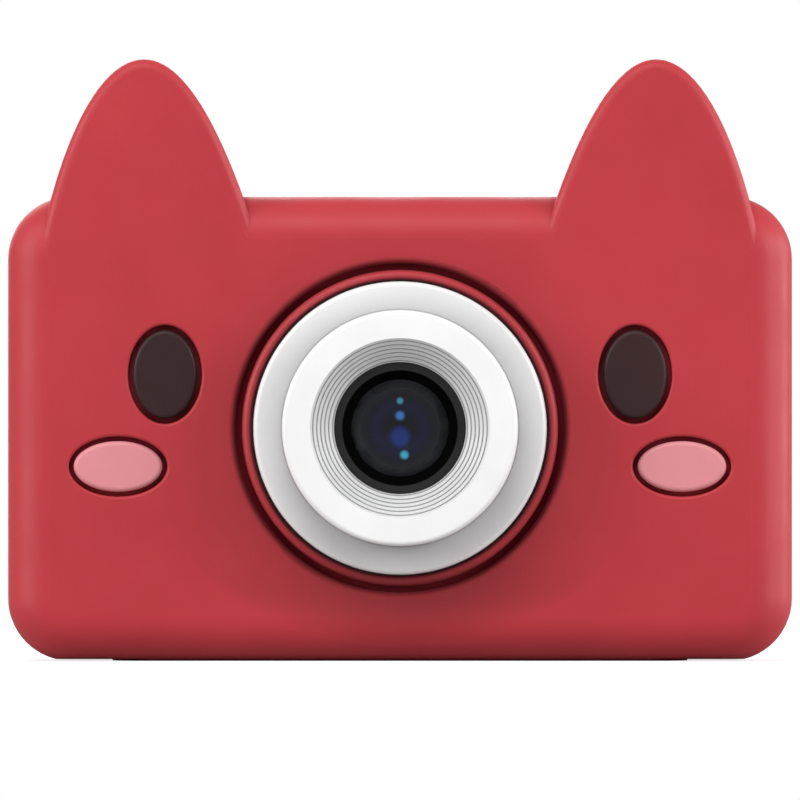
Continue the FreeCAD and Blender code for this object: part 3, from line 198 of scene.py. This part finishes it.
def add_floor():
    """A pale round table top that catches a faint shadow."""
    mesh = bpy.data.meshes.new("floor")
    shape = bmesh.new()
    bmesh.ops.create_circle(shape, cap_ends=True, segments=96, radius=FLOOR_RADIUS)
    shape.to_mesh(mesh)
    shape.free()
    floor = bpy.data.objects.new("floor", mesh)
    scene.collection.objects.link(floor)
    floor.location.z = cad_low.z - FLOOR_GAP
    material = bpy.data.materials.new("floor")
    material.use_nodes = True
    tree = material.node_tree
    tree.nodes.clear()
    diffuse = tree.nodes.new("ShaderNodeBsdfDiffuse")
    diffuse.inputs["Color"].default_value = (FLOOR_GREY, FLOOR_GREY, FLOOR_GREY, 1)
    glow = tree.nodes.new("ShaderNodeEmission")
    path = tree.nodes.new("ShaderNodeLightPath")
    level = tree.nodes.new("ShaderNodeMath")
    level.operation = "MULTIPLY"
    level.inputs[1].default_value = FLOOR_GLOW
    add = tree.nodes.new("ShaderNodeAddShader")
    out = tree.nodes.new("ShaderNodeOutputMaterial")
    tree.links.new(path.outputs["Is Camera Ray"], level.inputs[0])
    tree.links.new(level.outputs[0], glow.inputs["Strength"])
    tree.links.new(diffuse.outputs[0], add.inputs[0])
    tree.links.new(glow.outputs[0], add.inputs[1])
    tree.links.new(add.outputs[0], out.inputs["Surface"])
    mesh.materials.append(material)


add_camera()
add_world()
add_floor()
for lamp_values in LAMPS:
    add_softbox(*lamp_values)
scene.view_settings.view_transform = "Standard"


# ---- materials ----

def shaded(colour, share):
    return tuple(channel * share for channel in colour)


class Finish:
    """A material whose nodes read the place on the object in millimetres."""

    def __init__(self, name):
        self.material = bpy.data.materials.new(name)
        self.material.use_nodes = True
        self.tree = self.material.node_tree
        self.shader = self.tree.nodes["Principled BSDF"]
        coords = self.add("ShaderNodeTexCoord")
        scale = self.add("ShaderNodeVectorMath", operation="SCALE")
        scale.inputs["Scale"].default_value = 1 / MM
        self.join(coords.outputs["Object"], scale.inputs[0])
        self.place = scale.outputs[0]

    def add(self, kind, **settings):
        node = self.tree.nodes.new(kind)
        for key, value in settings.items():
            setattr(node, key, value)
        return node

    def join(self, source, target):
        self.tree.links.new(source, target)

    def set(self, **values):
        """Sets the shader's own sockets, for what is the same all over."""
        for key, value in values.items():
            socket = self.shader.inputs[key.replace("_", " ")]
            socket.default_value = (*value, 1) if socket.type == "RGBA" else value

    def noise(self, size, detail=3.0, stretch=(1, 1, 1)):
        """Cloudy noise whose blots are about size millimetres across."""
        mapping = self.add("ShaderNodeMapping")
        mapping.inputs["Scale"].default_value = tuple(each / size for each in stretch)
        noise = self.add("ShaderNodeTexNoise")
        noise.inputs["Scale"].default_value = 1.0
        noise.inputs["Detail"].default_value = detail
        self.join(self.place, mapping.inputs["Vector"])
        self.join(mapping.outputs[0], noise.inputs["Vector"])
        return noise.outputs["Fac"]

    def clouds(self, size, detail=3.0):
        """Cloudy noise with its contrast raised to fill 0 to 1."""
        return self.spread(self.noise(size, detail), 0, 1)

    def spread(self, value, low, high, start=0.3, end=0.7, kind="LINEAR"):
        """Maps a value from start..end to low..high."""
        node = self.add("ShaderNodeMapRange", interpolation_type=kind)
        set_range(node, start, end, low, high)
        self.join(value, node.inputs["Value"])
        return node.outputs["Result"]

    def mixed(self, share, first, second):
        """A colour between two, each a colour or a socket."""
        node = self.add("ShaderNodeMix", data_type="RGBA")
        for key, colour in ((6, first), (7, second)):
            if isinstance(colour, tuple):
                node.inputs[key].default_value = (*colour, 1)
            else:
                self.join(colour, node.inputs[key])
        self.join(share, node.inputs[0])
        return node.outputs[2]

    def calculate(self, operation, first, second):
        node = self.add("ShaderNodeMath", operation=operation)
        for key, value in enumerate((first, second)):
            if isinstance(value, (int, float)):
                node.inputs[key].default_value = value
            else:
                self.join(value, node.inputs[key])
        return node.outputs[0]

    def colour(self, source):
        self.join(source, self.shader.inputs["Base Color"])

    def roughness(self, source):
        self.join(source, self.shader.inputs["Roughness"])

    def bump(self, height, depth):
        """Relief as deep as depth millimetres."""
        node = self.add("ShaderNodeBump")
        node.inputs["Distance"].default_value = depth * MM
        self.join(height, node.inputs["Height"])
        self.join(node.outputs[0], self.shader.inputs["Normal"])

    def openness(self, reach, start, end, alone=False):
        """From 0 deep in a groove to 1 in the open, as seen within reach millimetres.

        Every piece nearby shuts a groove, unless the reading is of this piece alone.
        """
        node = self.add("ShaderNodeAmbientOcclusion", samples=8, only_local=alone)
        node.inputs["Distance"].default_value = reach * MM
        return self.spread(node.outputs["AO"], 0, 1, start, end)

    def distance(self, spot, flatten=(1, 1, 1)):
        """How far the place is from a spot, in millimetres, with each axis weighted."""
        away = self.add("ShaderNodeVectorMath", operation="SUBTRACT")
        away.inputs[1].default_value = tuple(each / MM for each in spot)
        weigh = self.add("ShaderNodeVectorMath", operation="MULTIPLY")
        weigh.inputs[1].default_value = flatten
        length = self.add("ShaderNodeVectorMath", operation="LENGTH")
        self.join(self.place, away.inputs[0])
        self.join(away.outputs[0], weigh.inputs[0])
        self.join(weigh.outputs[0], length.inputs[0])
        return length.outputs["Value"]

    def beyond(self, radius):
        """From 0 inside a radius round the lens axis to 1 outside it."""
        return self.spread(self.distance(LENS, FROM_AXIS), 0, 1, radius - BLEND, radius + BLEND)


def silicone(name, colour, cloud, groove, roughness=0.5, specular=0.36):
    """Soft moulded silicone: satin, finely grained, faintly clouded in colour and polish.

    Its colour is darkened with painted shade in its own grooves and round the lens.
    """
    finish = Finish(name)
    surface = finish.mixed(finish.clouds(16), colour, cloud)
    # painted shade: the colour turns to the groove colour deep in the piece's own grooves
    open_share = finish.openness(reach=2.4, start=0.38, end=0.88, alone=True)
    # painted shade: the face is darkened just round the lens, as if in the lens's shadow
    from_lens = finish.spread(finish.distance(LENS, FROM_AXIS_OVAL), 0, 1, *PAINTED_SHADE_REACH)
    lens_shade_mask = finish.calculate("MAXIMUM", finish.openness(reach=14, start=0.35, end=1.0), from_lens)
    surface = finish.mixed(lens_shade_mask, shaded(colour, 0.25), surface)
    finish.colour(finish.mixed(open_share, groove, surface))
    polish = finish.spread(finish.noise(5), roughness - 0.05, roughness + 0.05)
    dull = finish.calculate("SUBTRACT", 1.0, open_share)
    finish.roughness(finish.calculate("ADD", polish, finish.calculate("MULTIPLY", dull, 0.5)))
    finish.bump(finish.noise(0.28, 2), 0.010)
    finish.set(Specular_IOR_Level=specular, Sheen_Weight=0.02, Sheen_Roughness=0.45,
               Subsurface_Weight=0.06, Subsurface_Radius=(1.0, 0.25, 0.2), Subsurface_Scale=0.8 * MM)
    return finish.material


def plastic(name, colour, roughness=0.32, grain=0.35, relief=0.006, shade=0.94, coat=0.0, groove=None,
            reach=1.0, shut=0.25, clear_at=0.85, cone=1.0):
    """Injection-moulded plastic with a fine spark-eroded texture and a slightly uneven polish.

    With a groove colour it is darkened in corners with painted shade, and a cone share below 1 paints shade
    on the cone round the lens.
    """
    finish = Finish(name)
    surface = finish.mixed(finish.clouds(9, 2), colour, shaded(colour, shade))
    # painted shade: the cone round the lens is darker, as if shaded by its own walls
    if cone < 1:
        outside = finish.beyond(CONE_REACH)
        surface = finish.mixed(outside, shaded(colour, cone), surface)
    # painted shade: corners and grooves turn to the groove colour
    if groove:
        surface = finish.mixed(finish.openness(reach, shut, clear_at), groove, surface)
    finish.colour(surface)
    finish.roughness(finish.spread(finish.noise(2.5), roughness - 0.05, roughness + 0.06))
    finish.bump(finish.noise(grain, 2), relief)
    finish.set(Specular_IOR_Level=0.5, Coat_Weight=coat, Coat_Roughness=0.12)
    return finish.material


def lens_ring():
    """Matt anodised metal, dark grey on the flat and near black on the slope round the glass."""
    finish = Finish("lens_ring")
    flat = finish.beyond(RING_SLOPE)
    turned = finish.mixed(finish.clouds(0.6), RING_GREY, shaded(RING_GREY, 0.8))
    finish.colour(finish.mixed(flat, RING_BLACK, turned))
    finish.roughness(finish.spread(finish.noise(1.2), 0.5, 0.62))
    finish.set(Specular_IOR_Level=0.0)
    return finish.material


def metal(name, colour, roughness=0.3, along=(1, 12, 12)):
    """Stamped metal with drawn-out scratches."""
    finish = Finish(name)
    scratches = finish.noise(0.9, 4, along)
    finish.colour(finish.mixed(finish.spread(scratches, 0, 1), colour, shaded(colour, 0.8)))
    finish.roughness(finish.spread(scratches, roughness - 0.08, roughness + 0.12))
    finish.bump(scratches, 0.004)
    finish.set(Metallic=1.0)
    return finish.material


def circuit_board():
    """Green solder mask, lighter and slightly raised over a grid of tracks."""
    finish = Finish("circuit_board")
    tracks = finish.add("ShaderNodeTexBrick")
    mapping = finish.add("ShaderNodeMapping")
    mapping.inputs["Rotation"].default_value = (math.pi / 2, 0, 0)
    finish.join(finish.place, mapping.inputs["Vector"])
    finish.join(mapping.outputs[0], tracks.inputs["Vector"])
    for key, value in (("Scale", 0.55), ("Mortar Size", 0.06), ("Brick Width", 2.6), ("Row Height", 0.8)):
        tracks.inputs[key].default_value = value
    finish.colour(finish.mixed(tracks.outputs["Fac"], BOARD_GREEN, TRACK_GREEN))
    finish.bump(tracks.outputs["Fac"], 0.02)
    finish.roughness(finish.spread(finish.noise(3), 0.3, 0.42))
    return finish.material


def foil():
    """The crinkled silver pouch of a lithium cell."""
    finish = Finish("foil")
    folds = finish.noise(2.2, 6)
    finish.colour(finish.mixed(finish.spread(folds, 0, 1), FOIL_LIGHT, FOIL_DARK))
    finish.roughness(finish.spread(folds, 0.25, 0.45))
    finish.bump(folds, 0.05)
    finish.set(Metallic=1.0)
    return finish.material


def clear(name, tint, gloss_tint, base=0.03):
    """Clear plastic or glass: seen through, with a reflection that grows towards grazing angles.

    Base is roughly the share of light that it reflects straight on.
    """
    finish = Finish(name)
    tree = finish.tree
    through = finish.add("ShaderNodeBsdfTransparent")
    through.inputs["Color"].default_value = (*tint, 1)
    gloss = finish.add("ShaderNodeBsdfGlossy")
    gloss.inputs["Color"].default_value = (*gloss_tint, 1)
    finish.join(finish.spread(finish.noise(1.5, 2), 0.02, 0.05), gloss.inputs["Roughness"])
    fresnel = finish.add("ShaderNodeFresnel")
    fresnel.inputs["IOR"].default_value = 1.0 + 2 * math.sqrt(base)
    mix = finish.add("ShaderNodeMixShader")
    finish.join(fresnel.outputs[0], mix.inputs["Fac"])
    finish.join(through.outputs[0], mix.inputs[1])
    finish.join(gloss.outputs[0], mix.inputs[2])
    tree.nodes.remove(finish.shader)
    finish.join(mix.outputs[0], tree.nodes["Material Output"].inputs["Surface"])
    return finish.material


def painted_glint_core():
    """The dark glass deep in the lens, painted to glow faintly, with a painted violet reflection ring and
    painted blue and cyan glints.
    """
    finish = Finish("painted_glint_core")
    from_axis = finish.distance(LENS, FROM_AXIS)
    rim = finish.spread(from_axis, 0, 1, *CORE_RIM)
    colour = finish.mixed(rim, CORE_PAINTED_GLOW, MOUNT_PAINTED_GLOW)
    from_halo = finish.calculate("ABSOLUTE", finish.calculate("SUBTRACT", from_axis, HALO_RADIUS), 0)
    halo = finish.spread(from_halo, 0.7, 0, 0, HALO_WIDTH, "SMOOTHSTEP")
    colour = finish.mixed(halo, colour, HALO_REFLECTION_VIOLET)
    for across, up, radius, soft, tint in PAINTED_GLINTS:
        far = finish.distance((LENS.x + across * MM, 0, LENS.z + up * MM), FROM_AXIS)
        share = finish.spread(far, 1, 0, radius - soft, radius + soft, "SMOOTHSTEP")
        colour = finish.mixed(share, colour, tint)
    # the painted glow, reflection ring and glints are given as emission
    finish.join(colour, finish.shader.inputs["Emission Color"])
    finish.roughness(finish.spread(finish.noise(2), 0.3, 0.4))
    finish.set(Base_Color=CORE_BLACK, Emission_Strength=1.0, Specular_IOR_Level=0.0)
    return finish.material


FINISHES = {
    # the groove colours paint shade into grooves and corners, and the silicones also get painted shade
    # round the lens
    "red_silicone": silicone("red_silicone", RED, RED_CLOUD, RED_GROOVE_SHADE),
    "brown_silicone": silicone("brown_silicone", BROWN, shaded(BROWN, 0.8), BROWN_GROOVE_SHADE,
                               roughness=0.46, specular=0.28),
    "pink_silicone": silicone("pink_silicone", PINK, shaded(PINK, 0.94), PINK_GROOVE_SHADE, roughness=0.44),
    "white_plastic": plastic("white_plastic", WHITE, roughness=0.36, coat=0.1, groove=WHITE_GROOVE_SHADE),
    "white_keys": plastic("white_keys", KEY_WHITE, roughness=0.3, groove=WHITE_GROOVE_SHADE),
    "red_plastic": plastic("red_plastic", (0.60, 0.055, 0.07), roughness=0.28, coat=0.3),
    "black_plastic": plastic("black_plastic", BLACK, roughness=0.42, relief=0.01, shade=0.8),
    "lens_glass": clear("lens_glass", (0.93, 0.94, 0.96), (0.22, 0.24, 0.30)),
    "chip_black": plastic("chip_black", (0.02, 0.02, 0.021), roughness=0.55, relief=0.02, shade=0.8),
    "circuit_board": circuit_board(),
    "flat_cable": plastic("flat_cable", (0.50, 0.22, 0.04), roughness=0.35, shade=0.8),
    "steel": metal("steel", (0.62, 0.62, 0.63)),
    "card_black": plastic("card_black", (0.022, 0.022, 0.025), roughness=0.38, shade=0.85),
    "foam": plastic("foam", (0.03, 0.03, 0.03), roughness=0.9, grain=0.5, relief=0.15, shade=0.7),
    "screen_panel": plastic("screen_panel", (0.010, 0.011, 0.014), roughness=0.12, relief=0.0005, coat=0.5),
    "screen_window": clear("screen_window", (0.80, 0.82, 0.84), (0.6, 0.6, 0.6), base=0.04),
    "battery_pouch": foil(),
    "wire_sleeve": plastic("wire_sleeve", (0.40, 0.02, 0.02), roughness=0.4, shade=0.8),
    "clear_plastic": plastic("clear_plastic", (0.75, 0.80, 0.82), roughness=0.12, relief=0.002, coat=0.5),
}


def dress_frame():
    """Gives every node of the frame its own finish, or that of its material slot."""
    slots = {part["node"]: part["material_slot"] for part in frame["record"]["subparts"]}
    own = {
        "middle_lens": painted_glint_core(),
        "lens_retainer": lens_ring(),
        "lens_barrel": plastic("barrel_grey", BARREL_GREY, roughness=0.6, shade=0.9),
        # painted shade: the hood's cone and corners darken, and the base ring is a darker copy of white
        # that darkens near the hood
        "lens_hood": plastic("hood_white_painted_shade", WHITE, roughness=0.38, coat=0.05, groove=WHITE_GROOVE_SHADE,
                             reach=8.0, shut=0.4, clear_at=0.98, cone=0.74),
        "lens_base_ring": plastic("base_white_painted_shade", shaded(WHITE, 0.92), roughness=0.38, coat=0.05,
                                  groove=WHITE_GROOVE_SHADE, reach=6.0, shut=0.5, clear_at=1.0),
    }
    for name, node in nodes.items():
        node.data.materials.clear()
        node.data.materials.append(own.get(name) or FINISHES[slots[name]])


dress_frame()


# ---- pieces that the frame leaves out ----

# how a shape drawn across, up and outwards is turned to lie on a side of the camera
TURNS = {
    "front": Matrix(((1, 0, 0, 0), (0, 0, -1, 0), (0, 1, 0, 0), (0, 0, 0, 1))),
    "back": Matrix(((-1, 0, 0, 0), (0, 0, 1, 0), (0, 1, 0, 0), (0, 0, 0, 1))),
    "top": Matrix.Identity(4),
    "right": Matrix(((0, 0, 1, 0), (1, 0, 0, 0), (0, 1, 0, 0), (0, 0, 0, 1))),
}
SHARP = 0.5  # radians between two faces, from which an edge counts as sharp

# millimetres
PROUD = 0.10  # a key's mark stands out
SUNK = 0.05  # a piece reaches into what it lies on
THIN = 0.04  # contacts and a label stand out
MASK_LEVELS = (0.03, 0.07)  # both faces of the black print, outwards from the window's inner face
SOFT = 0.04  # the rounding of a mark's rim
SOFT_FINE = 0.03  # the rounding of a narrow bar's rim
STROKE = 0.2  # half the width of a mark's bar
STROKE_END = 0.19  # the rounding of a bar's ends
ARROW_ROUND = 0.22  # the rounding of an arrow head's corners

EXTRA_FINISHES = {
    "key_print": plastic("key_print", (0.055, 0.055, 0.06), roughness=0.45, relief=0.004, shade=0.8),
    "gold": metal("gold", (0.86, 0.60, 0.26), roughness=0.22),
    "window_mask": plastic("window_mask", (0.004, 0.004, 0.0045), roughness=0.3, relief=0.001, shade=0.8),
    "label": plastic("label", (0.62, 0.65, 0.68), roughness=0.5, relief=0.004, shade=0.9),
}


def middle(node):
    low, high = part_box(node)
    return (low + high) / 2


def face_middle(node, side):
    """The middle of a node's box on one of its sides, in millimetres."""
    low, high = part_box(node)
    spot = (low + high) / 2
    if side == "front":
        spot.y = low.y
    elif side == "back":
        spot.y = high.y
    elif side == "top":
        spot.z = high.z
    else:
        spot.x = high.x
    return spot / MM


def add_piece(name, shape, side, spot, finish, body):
    """Turns a drawn bmesh to a side, moves it to a spot in millimetres, and makes it a piece on a body."""
    matrix = Matrix.Scale(MM, 4) @ Matrix.Translation(spot) @ TURNS[side]
    bmesh.ops.transform(shape, matrix=matrix, verts=shape.verts)
    bmesh.ops.recalc_face_normals(shape, faces=shape.faces)
    mesh = bpy.data.meshes.new(name)
    shape.to_mesh(mesh)
    shape.free()
    mesh.materials.append(finish)
    piece = bpy.data.objects.new(name, mesh)
    scene.collection.objects.link(piece)
    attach(piece, body)


def arc(across, up, radius, start, end, steps=24):
    """Points round a middle, from one angle to another in degrees."""
    angles = [math.radians(start + (end - start) * step / steps) for step in range(steps + 1)]
    return [(across + radius * math.cos(angle), up + radius * math.sin(angle)) for angle in angles]


def circle(radius, steps=48):
    return arc(0, 0, radius, 0, 360, steps)[:-1]


def rounded(corners, radius, steps=6):
    """A convex outline, anticlockwise, whose corners are rounded."""
    points = []
    for index, spot in enumerate(corners):
        spot = Vector(spot)
        back = (Vector(corners[index - 1]) - spot).normalized()
        ahead = (Vector(corners[(index + 1) % len(corners)]) - spot).normalized()
        half = back.angle(ahead) / 2
        centre = spot + (back + ahead).normalized() * (radius / math.sin(half))
        first = math.degrees(math.atan2(back.x, -back.y))
        points += arc(centre.x, centre.y, radius, first, first + 180 - math.degrees(2 * half), steps)
    return points


def bar(left, right, bottom, top, radius):
    return rounded([(left, bottom), (right, bottom), (right, top), (left, top)], radius)


def slab(shape, outline, low, high, hole=None, soften=0.0):
    """Adds a plate between two levels.

    Its outline, and a hole with as many points, are (across, up) pairs. Soften rounds the upper rims.
    """
    rows = []
    for loop in [outline, hole] if hole else [outline]:
        for level in (low, high):
            rows.append([shape.verts.new((across, up, level)) for across, up in loop])
    count = len(outline)

    def wall(first, second):
        for index in range(count):
            following = (index + 1) % count
            shape.faces.new((first[index], first[following], second[following], second[index]))

    wall(rows[0], rows[1])
    if hole:
        wall(rows[2], rows[3])
        wall(rows[0], rows[2])
        wall(rows[1], rows[3])
    else:
        shape.faces.new(rows[0])
        shape.faces.new(rows[1])
    if soften:
        rims = {vert for row in rows[1::2] for vert in row}
        edges = [edge for edge in shape.edges
                 if set(edge.verts) <= rims and edge.calc_face_angle(0) > SHARP]
        bmesh.ops.bevel(shape, geom=edges, offset=soften, segments=2, affect="EDGES")


def add_mark(name, node, body, draw, side="back"):
    """A raised mark in the middle of a key or a button."""
    shape = bmesh.new()
    draw(shape)
    spot = face_middle(node, side)
    add_piece(name, shape, side, spot, EXTRA_FINISHES["key_print"], body)


def triangle(size, angle):
    """A rounded arrow head, its point turned from straight up by an angle in degrees, clockwise."""
    def draw(shape):
        turns = [math.radians(turn - angle) for turn in (90, 210, 330)]
        corners = [(size * math.cos(turn), size * math.sin(turn)) for turn in turns]
        slab(shape, rounded(corners, ARROW_ROUND), -SUNK, PROUD, soften=SOFT)
    return draw


def ok_mark(shape):
    """A ring."""
    slab(shape, circle(1.9), -SUNK, PROUD, circle(1.45), soften=SOFT)


def menu_mark(shape):
    """Three bars, one above another."""
    spacing, half_long = 0.95, 1.35
    for up in (-spacing, 0, spacing):
        outline = bar(-half_long, half_long, up - STROKE, up + STROKE, STROKE_END)
        slab(shape, outline, -SUNK, PROUD, soften=SOFT_FINE)


def power_mark(shape):
    """A ring that is open at the top, with a bar in the opening."""
    start, end = 125, 415
    outside = arc(0, 0, 1.7, start, end, 32)
    inside = arc(0, 0, 1.3, end, start, 32)
    slab(shape, outside + inside, -SUNK, PROUD, soften=SOFT_FINE)
    slab(shape, bar(-STROKE, STROKE, 0.5, 2.1, STROKE_END), -SUNK, PROUD, soften=SOFT_FINE)


def shutter_mark(shape):
    """A ring round a dot."""
    slab(shape, circle(2.6), -SUNK, PROUD, circle(2.25), soften=SOFT)
    slab(shape, circle(0.9), -SUNK, PROUD, soften=SOFT)


def add_marks():
    """The raised signs on the seven keys behind and the two buttons on top."""
    for word in ("up", "right", "down", "left"):
        away = middle(f"key_{word}") - middle("key_ok")
        heading = math.degrees(math.atan2(-away.x, away.z))
        add_mark(f"mark_{word}", f"key_{word}", f"{word}_key", triangle(size=1.15, angle=heading))
    add_mark("mark_ok", "key_ok", "ok_key", ok_mark)
    add_mark("mark_menu", "key_menu", "menu_key", menu_mark)
    add_mark("mark_play", "key_play", "play_key", triangle(size=1.6, angle=90))
    add_mark("mark_power", "power_button", "power_button", power_mark, "top")
    add_mark("mark_shutter", "shutter_button", "shutter_button", shutter_mark, "top")


def add_window_mask():
    """The black print round the picture, on the inner face of the screen's window."""
    low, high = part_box("screen_window")
    half_wide = (high.x - low.x) / 2 / MM
    half_tall = (high.z - low.z) / 2 / MM
    edge = 0.15  # from the window's outline to the print
    side, foot = 3.4, 4.2  # from the window's outline to the picture: at the sides and the top, and below
    outside = bar(edge - half_wide, half_wide - edge, edge - half_tall, half_tall - edge, 1.8)
    picture = bar(side - half_wide, half_wide - side, foot - half_tall, half_tall - side, 0.8)
    shape = bmesh.new()
    slab(shape, outside, *MASK_LEVELS, picture)
    spot = face_middle("screen_window", "back")
    spot.y = low.y / MM
    add_piece("window_mask", shape, "back", spot, EXTRA_FINISHES["window_mask"], "camera")


def contact_row(shape, left, right, levels, count, pitch, half_tall, rounding, shift=0.0):
    """Flat contacts one above another, evenly round the middle, or higher by a shift."""
    for step in range(count):
        up = (step - (count - 1) / 2) * pitch + shift
        slab(shape, bar(left, right, up - half_tall, up + half_tall, rounding), *levels)


def add_usb_contacts():
    """Gold contacts on both faces of the charging socket's tongue."""
    low, high = (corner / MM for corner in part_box("usb_socket"))
    half_long = (high.x - low.x) / 2
    half_tongue = 0.35
    shape = bmesh.new()
    for face in (-1, 1):
        levels = sorted((face * (half_tongue - SUNK), face * (half_tongue + THIN)))
        contact_row(shape, half_long - 3.9, half_long - 0.9, levels,
                    count=12, pitch=0.5, half_tall=0.13, rounding=0.05)
    spot = middle("usb_socket") / MM
    add_piece("usb_contacts", shape, "front", spot, EXTRA_FINISHES["gold"], "camera")


def add_card_details():
    """Gold contacts and a plain label on the memory card."""
    low, high = (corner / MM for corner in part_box("memory_card"))
    half_long, half_tall = (high.x - low.x) / 2, (high.z - low.z) / 2
    shape = bmesh.new()
    contact_row(shape, half_long - 3.6, half_long - 0.7, (-SUNK, THIN),
                count=8, pitch=1.1, half_tall=0.36, rounding=0.15, shift=-0.2)
    spot = face_middle("memory_card", "back")
    add_piece("card_contacts", shape, "back", spot, EXTRA_FINISHES["gold"], "memory_card")

    near_end, far_end, margin = 4.6, 1.4, 1.0  # from the card's edges to the label
    shape = bmesh.new()
    outline = bar(near_end - half_long, half_long - far_end, margin - half_tall, half_tall - margin, 0.6)
    slab(shape, outline, -SUNK, THIN)
    spot = face_middle("memory_card", "front")
    add_piece("card_label", shape, "front", spot, EXTRA_FINISHES["label"], "memory_card")


def add_plug_ribs():
    """Three fine ribs near the top of the silicone plug, for a fingernail."""
    low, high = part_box("port_plug")
    half_tall = (high.z - low.z) / 2 / MM
    from_top, pitch, half_long, half_rib = 1.7, 1.0, 2.2, 0.25
    shape = bmesh.new()
    for step in range(3):
        up = half_tall - from_top - step * pitch
        outline = bar(-half_long, half_long, up - half_rib, up + half_rib, 0.24)
        slab(shape, outline, -SUNK, 0.15, soften=0.08)
    spot = face_middle("port_plug", "right")
    add_piece("plug_ribs", shape, "right", spot, FINISHES["red_silicone"], "port_plug")


add_marks()
add_window_mask()
add_usb_contacts()
add_card_details()
add_plug_ribs()
